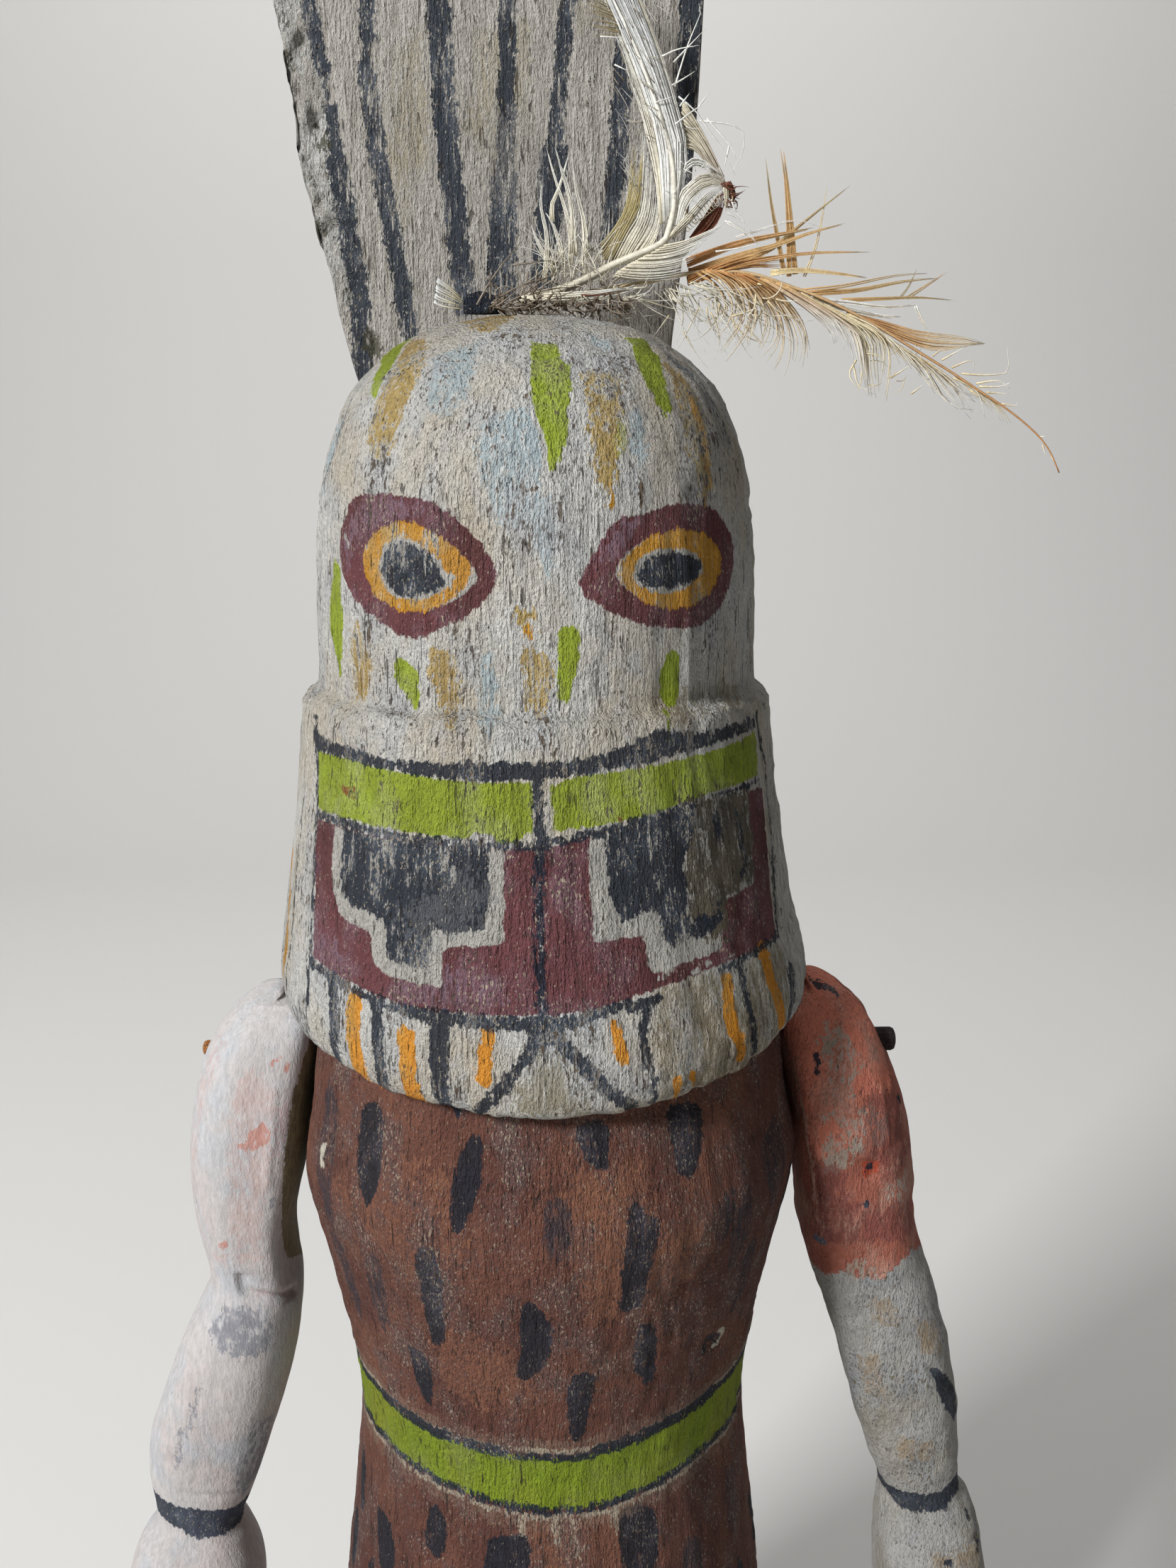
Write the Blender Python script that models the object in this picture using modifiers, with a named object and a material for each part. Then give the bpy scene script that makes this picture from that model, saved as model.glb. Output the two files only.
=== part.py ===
"""Carved and painted wooden kachina doll on a low round base.

The head, mask, body, robe and boots are one carved block. The arms are two sticks with flat inner
faces, pegged on flats below the mask's rim. A tapered board stands in a slot across the dome, and
feathers are tied in front of it. Metres, +Z up, the face looks along -Y, origin under the base.
"""
import math

import bmesh
import bpy
from mathutils import Matrix, Vector

MM = 0.001
GAP = 0.3 * MM

BASE_RADIUS = 64 * MM
BASE_HEIGHT = 16 * MM
BASE_EDGE = 2.5 * MM
BASE_SIDES = 56

DOME_TOP = 420.6
HEM = 50.0
LEAN = 2.4 * MM
LEAN_FROM = 330 * MM
LEAN_TO = 240 * MM
RIM_LIFT = 7 * MM
RIM_LOW = 273.5 * MM
RIM_HIGH = 279 * MM

SEGMENTS = 48

# The flats that the arms lie on: height and how far each stands from the Z axis, at the top and the foot.
FLAT_TOP = 280.6 * MM
FLAT_FOOT = 243 * MM
RIGHT_FLAT = (45.4 * MM, 50.2 * MM)
LEFT_FLAT = (50.9 * MM, 55.9 * MM)
FLAT_DEPTH = 33 * MM

BOARD_FRONT = 8 * MM
BOARD_THICKNESS = 7 * MM
BOARD_FOOT = 394 * MM
BOARD_TOP = 525 * MM

BOOT_SPREAD = 19 * MM

# Half-width and height of the turned outline, in millimetres, from the dome's top down to the hem.
DOME = [(0, DOME_TOP), (12.5, 419.2), (24.5, 415.8), (34.4, 408), (39.3, 399.6), (42.3, 389.5)]
HEAD = [(43.3, 381), (44.0, 371), (44.3, 360), (44.3, 350)]
LEDGE = [(44.9, 348.2), (46.9, 346.6), (47.7, 343.5)]
MASK = [(48.4, 336), (49.6, 326), (51.6, 313), (53.9, 298.5), (55.7, 284), (55.5, 278.4)]
RIM = [(54.4, 275.8), (52.2, 274.8), (50.0, 275.4), (49.4, 273)]
CHEST = [(50.6, 267), (51.6, 261), (53.0, 255), (53.8, 250), (53.2, 243), (51.6, 236), (49.0, 224.5)]
ROBE = [(46.0, 210), (43.9, 196), (43.3, 188), (44.0, 177), (45.6, 161), (47.9, 141), (50.0, 115), (51.6, 88)]
HEM_TURN = [(52.4, 62), (52.0, 52), (50.0, HEM), (0, HEM)]

# Arms: height, inner side, outer side, front and back, in millimetres. The top tucks under the mask's rim.
RIGHT_ARM = [
    (282, 55.2, 57, -2.5, 2.5), (281.3, 54.6, 59.6, -5.5, 5.5), (280.6, 54.4, 61.6, -7.6, 7.6),
    (280, 47, 62.6, -8.6, 8.6), (277.6, 46.8, 65.8, -11, 11), (273.5, 47.2, 69.2, -13, 13),
    (267.5, 48.2, 72.4, -14.4, 14.4), (259, 49.6, 74.9, -15.2, 15.2), (249, 51, 76.6, -15.4, 15.4),
    (241, 52.4, 76.8, -15, 15), (234, 54, 76.4, -14.4, 14.4), (226, 55.4, 75.4, -13.6, 13.6),
    (218.4, 55, 74.1, -12.8, 13.2), (214, 54.2, 74.3, -13, 13), (208, 54.2, 77, -13.6, 12.6),
    (198, 55.6, 81.6, -13.8, 12), (187, 58.4, 85.7, -13.2, 11.4), (176, 62, 89.4, -12, 10.6),
    (166, 65, 90.4, -10.6, 9.6), (158, 68, 89.8, -9.4, 8.8), (152.5, 70.4, 89.9, -9, 8.6),
    (148.5, 68.6, 93.2, -11.4, 10), (142, 66.4, 95.9, -14.4, 12), (134, 66, 97, -15.8, 13),
    (125, 67, 96, -15.4, 12.6), (116.5, 69.6, 93, -12.6, 10.2), (112, 74, 89, -7.6, 6.4),
]
LEFT_ARM = [
    (283.8, 58.2, 59.6, -2.5, 2.5), (283, 57.6, 62, -5.5, 5.5), (281, 57.2, 65.4, -8.6, 8.6),
    (280, 52, 66.8, -9.6, 9.6), (277.2, 51.9, 69.8, -11.4, 11.4), (271.5, 52.5, 73.4, -13.4, 13.4),
    (263.4, 53.6, 77.2, -14.6, 14.6), (254, 55.2, 80.2, -15.4, 15.4), (245, 56.4, 82.2, -15.2, 15.2),
    (236, 57.4, 83.2, -14.8, 14.8), (229, 58, 83.7, -14.2, 14.4), (222, 59.2, 85.2, -13.6, 14),
    (214, 61.6, 88, -13.2, 13.2), (204, 65, 91, -13.2, 12.4), (193, 68.4, 94, -13, 11.6),
    (182, 71.6, 96.2, -12.2, 10.8), (171, 75, 97.2, -10.8, 9.8), (163, 77.8, 97.8, -9.6, 9),
    (156.5, 80, 98.4, -9, 8.6), (152, 79.6, 101.8, -11, 9.6), (145, 79, 103.8, -14, 11.6),
    (136, 79.4, 104.8, -15.4, 12.6), (126, 80.6, 104.2, -15, 12.2), (117, 83.4, 101.6, -12, 10),
    (112.4, 88, 97, -7.2, 6.2),
]
ARM_SIDES = 20
# How a section bulges: 0 is square and 1 is round. Towards the body the upper arm is flat, the forearm round.
OUTER_ROUND = 0.86
UPPER_INNER_ROUND = 0.36
FOREARM_INNER_ROUND = 0.8
ELBOW_TOP = 225
ELBOW_FOOT = 200

# Boots: height, middle and half-sizes across and along, in millimetres.
BOOT = [(58, 3, 13, 13), (42, 3, 13.6, 14), (33, 1, 14.4, 17), (26, -4, 15.4, 23.6), (19, -6, 15.8, 26)]
BOOT_SIDES = 20

# Feathers: the quill's line from its root on the dome, and the vane's half-width along it, in millimetres.
UPRIGHT_QUILL = [(-0.6, -6, 422), (6, -6.5, 424.8), (13, -7, 427.4), (20, -7, 431), (26, -6.5, 437),
                 (28.2, -6, 446), (25, -5.5, 456), (20, -5, 468), (15.6, -4.5, 480), (12, -4, 492)]
UPRIGHT_HALF_WIDTHS = (0.7, 1.2, 2.4, 4.2, 7.2, 7, 5.2, 4.6, 3.6, 0.8)
TAN_QUILL = [(-1, -3, 422.6), (9, -3.2, 425.4), (21, -3.6, 428.6), (34, -4, 429.5), (50, -4.4, 425.6),
             (68.6, -4.6, 417.3), (88, -4.6, 406.6), (105, -4.6, 390.6)]
TAN_HALF_WIDTHS = (0.7, 1, 3, 6.5, 8.5, 8, 5, 0.8)
BROKEN_QUILL = [(-2.4, -9, 421.6), (5, -9.6, 422.5), (13, -9.8, 422.7), (20.5, -9.6, 424.6)]
BROKEN_HALF_WIDTHS = (0.7, 1.3, 1.7, 0.8)
TUFT_QUILL = [(-2, -1.4, 423.8), (-9, -1.4, 426.4), (-18, -1.4, 425.6)]
TUFT_HALF_WIDTHS = (0.7, 2.2, 0.8)
FEATHER_THICKNESS = 1.2 * MM

LEFT_PEG_RADIUS = 2.6 * MM
RIGHT_PEG_RADIUS = 1.7 * MM
PEG_SOCKET = 2.4 * MM
PEG_HEIGHT = 267.8 * MM


def clear_scene():
    for obj in list(bpy.data.objects):
        bpy.data.objects.remove(obj)


def new_collection(name):
    collection = bpy.data.collections.new(name)
    bpy.context.scene.collection.children.link(collection)
    return collection


def paint(name, colour, roughness, metallic=0.0):
    material = bpy.data.materials.new(name)
    material.use_nodes = True
    shader = material.node_tree.nodes["Principled BSDF"]
    shader.inputs["Base Color"].default_value = (*colour, 1.0)
    shader.inputs["Roughness"].default_value = roughness
    shader.inputs["Metallic"].default_value = metallic
    return material


def add_object(name, mesh, collection, material=None):
    obj = bpy.data.objects.new(name, mesh)
    collection.objects.link(obj)
    if material:
        mesh.materials.append(material)
    return obj


def move_to(obj, collection):
    for holder in list(obj.users_collection):
        holder.objects.unlink(obj)
    collection.objects.link(obj)


def catmull(points, steps):
    """The points of a smooth curve through the given ones, each a tuple, with steps to a span."""
    rows = [Vector(p) for p in points]
    curve = []
    for i in range(len(rows) - 1):
        before, start, end = rows[max(i - 1, 0)], rows[i], rows[i + 1]
        after = rows[min(i + 2, len(rows) - 1)]
        for k in range(steps):
            t = k / steps
            pull_in = (end - before) / 2
            pull_out = (after - start) / 2
            span = end - start
            curve.append(start + pull_in * t + (3 * span - 2 * pull_in - pull_out) * t**2
                         + (pull_in + pull_out - 2 * span) * t**3)
    curve.append(rows[-1])
    return curve


def ease(value, low, high):
    """0 at low, 1 at high, and smooth between."""
    t = min(1.0, max(0.0, (value - low) / (high - low)))
    return t * t * (3 - 2 * t)


def lean(height):
    """How far the block's middle stands off the Z axis at this height."""
    return LEAN * (1 - ease(height, LEAN_TO, LEAN_FROM))


def rim_share(height):
    """1 on the mask's rim, fading above and below it."""
    above = 1 - ease(height, RIM_HIGH, RIM_HIGH + 26 * MM)
    below = ease(height, RIM_LOW - 12 * MM, RIM_LOW)
    return above * below


def evaluated_copy(obj, name, collection, material):
    """A plain mesh object from what obj's modifiers make. obj is removed."""
    graph = bpy.context.evaluated_depsgraph_get()
    graph.update()
    mesh = bpy.data.meshes.new_from_object(obj.evaluated_get(graph))
    mesh.transform(obj.matrix_world)
    mesh.materials.clear()
    bpy.data.objects.remove(obj)
    return add_object(name, mesh, collection, material)


def cut_or_join(obj, other, operation):
    modifier = obj.modifiers.new(operation.lower() + "_" + other.name, "BOOLEAN")
    modifier.operation = operation
    modifier.object = other
    other.hide_render = True
    other.display_type = "WIRE"


def loft(name, rings, collection, material=None):
    """A closed body through rings of equal count, flat at both ends."""
    shape = bmesh.new()
    rows = [[shape.verts.new(p) for p in ring] for ring in rings]
    count = len(rings[0])
    for upper, lower in zip(rows, rows[1:]):
        for i in range(count):
            j = (i + 1) % count
            shape.faces.new((upper[i], lower[i], lower[j], upper[j]))
    shape.faces.new(rows[0])
    shape.faces.new(reversed(rows[-1]))
    bmesh.ops.recalc_face_normals(shape, faces=shape.faces)
    mesh = bpy.data.meshes.new(name)
    shape.to_mesh(mesh)
    shape.free()
    return add_object(name, mesh, collection, material)


def shade_round(obj):
    obj.data.shade_smooth()
    obj.data.set_sharp_from_angle(angle=math.radians(40))


def turned_block(collection, material):
    """Head, mask, body and robe: a turned outline, leaned, whose rim dips at the front and the back."""
    outline = [tuple(p) for p in catmull(DOME + HEAD, 2)] + LEDGE + MASK + RIM + CHEST + ROBE + HEM_TURN
    mesh = bpy.data.meshes.new("outline")
    places = [(half * MM, 0, height * MM) for half, height in outline]
    mesh.from_pydata(places, [(i, i + 1) for i in range(len(places) - 1)], [])
    drawn = add_object("outline", mesh, collection)
    screw = drawn.modifiers.new("turn", "SCREW")
    screw.steps = SEGMENTS
    screw.render_steps = SEGMENTS
    screw.use_merge_vertices = True
    screw.merge_threshold = 0.00005
    block = evaluated_copy(drawn, "figure", collection, material)
    for vertex in block.data.vertices:
        place = vertex.co
        side = place.x**2 / max(place.x**2 + place.y**2, 1e-12)
        place.x += lean(place.z)
        place.z += RIM_LIFT * side * rim_share(place.z)
    return block


def flat_cutter(side, flat, collection):
    """A block whose inner face is the flat that an arm lies on. side is 1 for the doll's left arm."""
    top, foot = flat
    tall = 60 * MM
    slope = math.atan2(foot - top, FLAT_TOP - FLAT_FOOT)
    turn = Matrix.Rotation(-side * slope, 4, "Y")
    shape = bmesh.new()
    bmesh.ops.create_cube(shape, size=1)
    bmesh.ops.scale(shape, verts=shape.verts, vec=(30 * MM, FLAT_DEPTH, tall))
    bmesh.ops.translate(shape, verts=shape.verts, vec=(side * 15 * MM, 0, -tall / 2))
    mesh = bpy.data.meshes.new("flat_cutter")
    shape.to_mesh(mesh)
    shape.free()
    mesh.transform(Matrix.Translation((side * top, 0, FLAT_TOP)) @ turn)
    return add_object("flat_cutter", mesh, collection)


def board_outline(clearance):
    """The board's outline in X and Z, its foot first. The left edge has lost two long splinters."""
    grow = clearance
    left = [(-31.4, BOARD_FOOT / MM), (-36.6, 412), (-41.2, 430), (-45.4, 447.5), (-46.4, 451),
            (-46.2, 457), (-48.0, 468), (-50.0, 480), (-52.0, 494), (-53.0, 508)]
    right = [(25.6, BOARD_FOOT / MM), (27.8, 418), (31.0, 444), (32.4, 464), (33.2, 482), (34.4, 508)]
    top = [(30.5, 518.5), (20, 522.8), (6, BOARD_TOP / MM - 0.4), (-10, BOARD_TOP / MM),
           (-26, 524.2), (-40, 521), (-50, 515.5)]
    points = [Vector(p) * MM for p in right + top + left[::-1]]
    middle = Vector((-6 * MM, 460 * MM))
    return [p + Vector((math.copysign(grow, (p - middle).x), -grow if p.y < 400 * MM else 0)) for p in points]


def board_body(name, clearance, collection, material=None):
    """An upright flat board made from its outline. The clearance widens it into the cutter of its own slot."""
    curve = bpy.data.curves.new(name + "_outline", "CURVE")
    curve.dimensions = "2D"
    curve.fill_mode = "BOTH"
    curve.extrude = BOARD_THICKNESS / 2 + clearance
    points = board_outline(clearance)
    spline = curve.splines.new("POLY")
    spline.points.add(len(points) - 1)
    for handle, point in zip(spline.points, points):
        handle.co = (point.x, point.y, 0, 1)
    spline.use_cyclic_u = True
    drawn = add_object(name + "_outline", curve, collection)
    drawn.rotation_euler = (math.pi / 2, 0, 0)
    drawn.location = (0, BOARD_FRONT + BOARD_THICKNESS / 2, 0)
    bpy.context.view_layer.update()
    obj = evaluated_copy(drawn, name, collection, material)
    shape = bmesh.new()
    shape.from_mesh(obj.data)
    bmesh.ops.remove_doubles(shape, verts=shape.verts, dist=0.00001)
    bmesh.ops.recalc_face_normals(shape, faces=shape.faces)
    shape.to_mesh(obj.data)
    shape.free()
    return obj


def boot(side, collection):
    rings = []
    for height, middle, across, along in BOOT:
        ring = []
        for k in range(BOOT_SIDES):
            turn = 2 * math.pi * k / BOOT_SIDES
            ring.append(Vector((LEAN + side * BOOT_SPREAD + across * MM * math.cos(turn),
                                (middle + along * math.sin(turn)) * MM, height * MM)))
        rings.append(ring)
    sole = [Vector((p.x, p.y, BASE_HEIGHT + GAP)) for p in rings[-1]]
    return loft("boot_shape", rings + [sole], collection)


def arm(name, stations, side, collection, material):
    """A stick of level sections, D-shaped above the elbow with the flat towards the body."""
    rings = []
    for height, inner, outer, front, back in stations:
        middle, half = (inner + outer) / 2, (outer - inner) / 2
        upper = ease(height, ELBOW_FOOT, ELBOW_TOP)
        inner_round = UPPER_INNER_ROUND * upper + FOREARM_INNER_ROUND * (1 - upper)
        ring = []
        for k in range(ARM_SIDES):
            turn = 2 * math.pi * (k + 0.5) / ARM_SIDES
            power = OUTER_ROUND if math.cos(turn) > 0 else inner_round
            out = math.copysign(abs(math.cos(turn)) ** power, math.cos(turn))
            along = math.copysign(abs(math.sin(turn)) ** OUTER_ROUND, math.sin(turn))
            depth = (front + back) / 2 + (back - front) / 2 * along
            ring.append(Vector((side * (middle + half * out), depth, height)) * MM)
        rings.append(ring if side > 0 else ring[::-1])
    obj = loft(name, rings, collection, material)
    shade_round(obj)
    return obj


def peg(name, face, side, radius, proud, parts, cutters, holder, material):
    """The round end of the peg that holds an arm. It sits proud of its own shallow socket in the arm."""
    bottom = face - side * PEG_SOCKET
    length = PEG_SOCKET - GAP + proud

    def cylinder(title, half_width, start, run, collection, look=None):
        bpy.ops.mesh.primitive_cylinder_add(vertices=16, radius=half_width, depth=run)
        obj = bpy.context.active_object
        obj.name = title
        obj.matrix_world = (Matrix.Translation((start + side * run / 2, 0, PEG_HEIGHT))
                            @ Matrix.Rotation(side * math.pi / 2, 4, "Y"))
        move_to(obj, collection)
        if look:
            obj.data.materials.append(look)
        return obj

    socket = cylinder(name + "_socket", radius + GAP, bottom, 12 * MM, cutters)
    cut_or_join(holder, socket, "DIFFERENCE")
    head = cylinder(name, radius, bottom + side * GAP, length, parts, material)
    rounded = head.modifiers.new("worn_end", "BEVEL")
    rounded.width = min(0.9 * MM, 0.42 * length)
    rounded.segments = 2
    shade_round(head)


def feather(name, line, widths, collection, material):
    """A feather as a thin solid strip along its quill. The line and its half-widths are in millimetres."""
    spine = catmull([Vector(p) * MM for p in line], 2)
    halves = [w.x * MM for w in catmull([(w, 0) for w in widths], 2)]
    shape = bmesh.new()
    rows = []
    for i, (place, half) in enumerate(zip(spine, halves)):
        run = (spine[min(i + 1, len(spine) - 1)] - spine[max(i - 1, 0)]).normalized()
        across = run.cross(Vector((0, -1, 0))).normalized() * half
        rows.append([shape.verts.new(place + across * s) for s in (-1, 0, 1)])
    for one, two in zip(rows, rows[1:]):
        for i in range(2):
            shape.faces.new((one[i], two[i], two[i + 1], one[i + 1]))
    mesh = bpy.data.meshes.new(name)
    shape.to_mesh(mesh)
    shape.free()
    obj = add_object(name, mesh, collection, material)
    solid = obj.modifiers.new("thickness", "SOLIDIFY")
    solid.thickness = FEATHER_THICKNESS
    solid.offset = 0.0
    solid.use_even_offset = False
    return obj


def base_plate(collection, material):
    bpy.ops.mesh.primitive_cylinder_add(vertices=BASE_SIDES, radius=BASE_RADIUS, depth=BASE_HEIGHT)
    obj = bpy.context.active_object
    obj.name = "base"
    obj.location.z = BASE_HEIGHT / 2
    move_to(obj, collection)
    obj.data.materials.append(material)
    edge = obj.modifiers.new("eased_edge", "BEVEL")
    edge.width = BASE_EDGE
    edge.segments = 2
    shade_round(obj)
    return obj


def main():
    clear_scene()
    parts = new_collection("kachina_doll")
    cutters = new_collection("cutters")
    white = paint("whitewash", (0.62, 0.59, 0.54), 0.9)
    coral = paint("coral_paint", (0.50, 0.17, 0.11), 0.85)
    chalk = paint("chalk_white", (0.72, 0.67, 0.63), 0.9)
    grey_wood = paint("weathered_wood", (0.33, 0.29, 0.24), 0.95)
    bare_wood = paint("bare_wood", (0.45, 0.36, 0.25), 0.85)
    dark_peg = paint("dark_peg", (0.07, 0.05, 0.05), 0.7)
    quill_white = paint("white_feather", (0.75, 0.70, 0.58), 0.8)
    quill_tan = paint("tan_feather", (0.52, 0.33, 0.15), 0.8)

    figure = turned_block(parts, white)
    for side, flat in ((-1, RIGHT_FLAT), (1, LEFT_FLAT)):
        cut_or_join(figure, flat_cutter(side, flat, cutters), "DIFFERENCE")
        cut_or_join(figure, boot(side, cutters), "UNION")
    slot = board_body("slot_cutter", GAP, cutters)
    cut_or_join(figure, slot, "DIFFERENCE")
    shade_round(figure)

    board_body("tableta", 0, parts, grey_wood)
    right = arm("arm_right", RIGHT_ARM, -1, parts, chalk)
    left = arm("arm_left", LEFT_ARM, 1, parts, coral)
    peg("peg_right", -72.3 * MM, -1, RIGHT_PEG_RADIUS, 0.9 * MM, parts, cutters, right, coral)
    peg("peg_left", 75.3 * MM, 1, LEFT_PEG_RADIUS, 3.1 * MM, parts, cutters, left, dark_peg)

    feather("feather_upright", UPRIGHT_QUILL, UPRIGHT_HALF_WIDTHS, parts, quill_white)
    feather("feather_tan", TAN_QUILL, TAN_HALF_WIDTHS, parts, quill_tan)
    feather("feather_broken", BROKEN_QUILL, BROKEN_HALF_WIDTHS, parts, quill_white)
    feather("down_tuft", TUFT_QUILL, TUFT_HALF_WIDTHS, parts, quill_white)
    base_plate(parts, bare_wood)


main()
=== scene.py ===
"""The looks of the carved kachina doll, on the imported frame: worn paint on weathered cottonwood,
a striped board on the crown, two painted arms and what is left of the feathers."""

import math

import bpy
import numpy as np
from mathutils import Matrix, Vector


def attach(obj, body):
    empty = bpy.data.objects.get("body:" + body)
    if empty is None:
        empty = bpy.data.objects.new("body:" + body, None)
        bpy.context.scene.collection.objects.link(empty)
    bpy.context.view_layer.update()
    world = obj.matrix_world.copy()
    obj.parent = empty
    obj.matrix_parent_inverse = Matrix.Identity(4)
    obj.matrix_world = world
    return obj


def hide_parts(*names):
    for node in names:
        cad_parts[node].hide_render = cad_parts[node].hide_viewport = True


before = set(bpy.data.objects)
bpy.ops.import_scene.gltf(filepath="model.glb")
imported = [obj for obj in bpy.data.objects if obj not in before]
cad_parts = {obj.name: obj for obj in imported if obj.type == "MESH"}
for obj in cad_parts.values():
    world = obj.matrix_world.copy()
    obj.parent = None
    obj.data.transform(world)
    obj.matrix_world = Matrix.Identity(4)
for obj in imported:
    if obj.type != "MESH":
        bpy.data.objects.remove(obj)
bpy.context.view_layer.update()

MM = 0.001

# -------- the block's outline, as carved
# Half-width and height in millimetres, from the crown down to the hem.
DOME = [(0, 420.6), (12.5, 419.2), (24.5, 415.8), (34.4, 408), (39.3, 399.6), (42.3, 389.5)]
HEAD = [(43.3, 381), (44.0, 371), (44.3, 360), (44.3, 350)]
LEDGE = [(44.9, 348.2), (46.9, 346.6), (47.7, 343.5)]
MASK = [(48.4, 336), (49.6, 326), (51.6, 313), (53.9, 298.5), (55.7, 284), (55.5, 278.4)]
RIM = [(54.4, 275.8), (52.2, 274.8), (50.0, 275.4), (49.4, 273)]
CHEST = [(50.6, 267), (51.6, 261), (53.0, 255), (53.8, 250), (53.2, 243), (51.6, 236), (49.0, 224.5)]
ROBE = [(46.0, 210), (43.9, 196), (43.3, 188), (44.0, 177), (45.6, 161), (47.9, 141), (50.0, 115),
        (51.6, 88)]
HEM = [(52.4, 62), (52.0, 52), (50.0, 50), (38, 50), (0, 50)]

LEAN = 2.4
LEAN_FROM, LEAN_TO = 330, 240
RIM_LOW, RIM_HIGH, RIM_LIFT = 273.5, 279, 7
FLAT_TOP, FLAT_FOOT = 280.6, 243
RIGHT_FLAT = (45.4, 50.2)
LEFT_FLAT = (50.9, 55.9)
FLAT_HALF_DEPTH = 16.5
LEDGE_AT, LIP_AT = 346.2, 276.5
# The block's mesh: rows of these heights, and columns that crowd towards the front.
FINE_ROW, PLAIN_ROW, PLAIN_BELOW = 1.06, 2.1, 130
FIGURE_COLUMNS, FRONT_CROWDING = 246, 0.26

# Height, inner side, outer side, front and back, in millimetres.
RIGHT_ARM = [
    (282, 55.2, 57, -2.5, 2.5), (281.3, 54.6, 59.6, -5.5, 5.5), (280.6, 54.4, 61.6, -7.6, 7.6),
    (280, 47, 62.6, -8.6, 8.6), (277.6, 46.8, 65.8, -11, 11), (273.5, 47.2, 69.2, -13, 13),
    (267.5, 48.2, 72.4, -14.4, 14.4), (259, 49.6, 74.9, -15.2, 15.2), (249, 51, 76.6, -15.4, 15.4),
    (241, 52.4, 76.8, -15, 15), (234, 54, 76.4, -14.4, 14.4), (226, 55.4, 75.4, -13.6, 13.6),
    (218.4, 55, 74.1, -12.8, 13.2), (214, 54.2, 74.3, -13, 13), (208, 54.2, 77, -13.6, 12.6),
    (198, 55.6, 81.6, -13.8, 12), (187, 58.4, 85.7, -13.2, 11.4), (176, 62, 89.4, -12, 10.6),
    (166, 65, 90.4, -10.6, 9.6), (158, 68, 89.8, -9.4, 8.8), (152.5, 70.4, 89.9, -9, 8.6),
    (148.5, 68.6, 93.2, -11.4, 10), (142, 66.4, 95.9, -14.4, 12), (134, 66, 97, -15.8, 13),
    (125, 67, 96, -15.4, 12.6), (116.5, 69.6, 93, -12.6, 10.2), (112, 74, 89, -7.6, 6.4),
]
LEFT_ARM = [
    (283.8, 58.2, 59.6, -2.5, 2.5), (283, 57.6, 62, -5.5, 5.5), (281, 57.2, 65.4, -8.6, 8.6),
    (280, 52, 66.8, -9.6, 9.6), (277.2, 51.9, 69.8, -11.4, 11.4), (271.5, 52.5, 73.4, -13.4, 13.4),
    (263.4, 53.6, 77.2, -14.6, 14.6), (254, 55.2, 80.2, -15.4, 15.4), (245, 56.4, 82.2, -15.2, 15.2),
    (236, 57.4, 83.2, -14.8, 14.8), (229, 58, 83.7, -14.2, 14.4), (222, 59.2, 85.2, -13.6, 14),
    (214, 61.6, 88, -13.2, 13.2), (204, 65, 91, -13.2, 12.4), (193, 68.4, 94, -13, 11.6),
    (182, 71.6, 96.2, -12.2, 10.8), (171, 75, 97.2, -10.8, 9.8), (163, 77.8, 97.8, -9.6, 9),
    (156.5, 80, 98.4, -9, 8.6), (152, 79.6, 101.8, -11, 9.6), (145, 79, 103.8, -14, 11.6),
    (136, 79.4, 104.8, -15.4, 12.6), (126, 80.6, 104.2, -15, 12.2), (117, 83.4, 101.6, -12, 10),
    (112.4, 88, 97, -7.2, 6.2),
]
OUTER_ROUND = 0.86
UPPER_INNER_ROUND = 0.36
FOREARM_INNER_ROUND = 0.8
ELBOW_TOP, ELBOW_FOOT = 225, 200

# Boots: height, middle and half-sizes across and along.
BOOT = [
    (58, 3, 13, 13), (42, 3, 13.6, 14), (33, 1, 14.4, 17), (26, -4, 15.4, 23.6), (19, -6, 15.8, 26),
    (16.3, -6, 15.6, 25.8),
]
BOOT_SPREAD = 19


# -------- carving in numbers
def ease(value, low, high):
    """0 at low, 1 at high, and smooth between."""
    t = np.clip((np.asarray(value, float) - low) / (high - low), 0, 1)
    return t * t * (3 - 2 * t)


def catmull(points, steps):
    """Points on a smooth curve through the given ones."""
    p = np.array(points, float)
    padded = np.vstack([2 * p[0] - p[1], p, 2 * p[-1] - p[-2]])
    t = np.linspace(0, 1, steps, endpoint=False)[:, None]
    pieces = []
    for a, b, c, d in zip(padded, padded[1:], padded[2:], padded[3:]):
        pieces.append(b + 0.5 * t * (c - a) + t**2 * (a - 2.5 * b + 2 * c - 0.5 * d)
                      + t**3 * (1.5 * (b - c) + 0.5 * (d - a)))
    return np.vstack(pieces + [p[-1:]])


def catmull_loop(points, steps):
    """Points on a smooth closed curve through the given ones."""
    count = len(points)
    curve = catmull(np.vstack([points[-2:], points, points[:2]]), steps)
    return curve[2 * steps:(count + 2) * steps]


def run_along(curve):
    """How far along the curve each of its points lies."""
    return np.concatenate([[0], np.cumsum(np.linalg.norm(np.diff(curve, axis=0), axis=1))])


def resample(curve, spacing):
    """Points along the curve, each the given spacing from the last. spacing is a function of height."""
    run = run_along(curve)
    at, places = 0.0, []
    while at < run[-1]:
        places.append(at)
        at += spacing(np.interp(at, run, curve[:, 1]))
    places.append(run[-1])
    return np.column_stack([np.interp(places, run, curve[:, k]) for k in range(curve.shape[1])])


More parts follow.
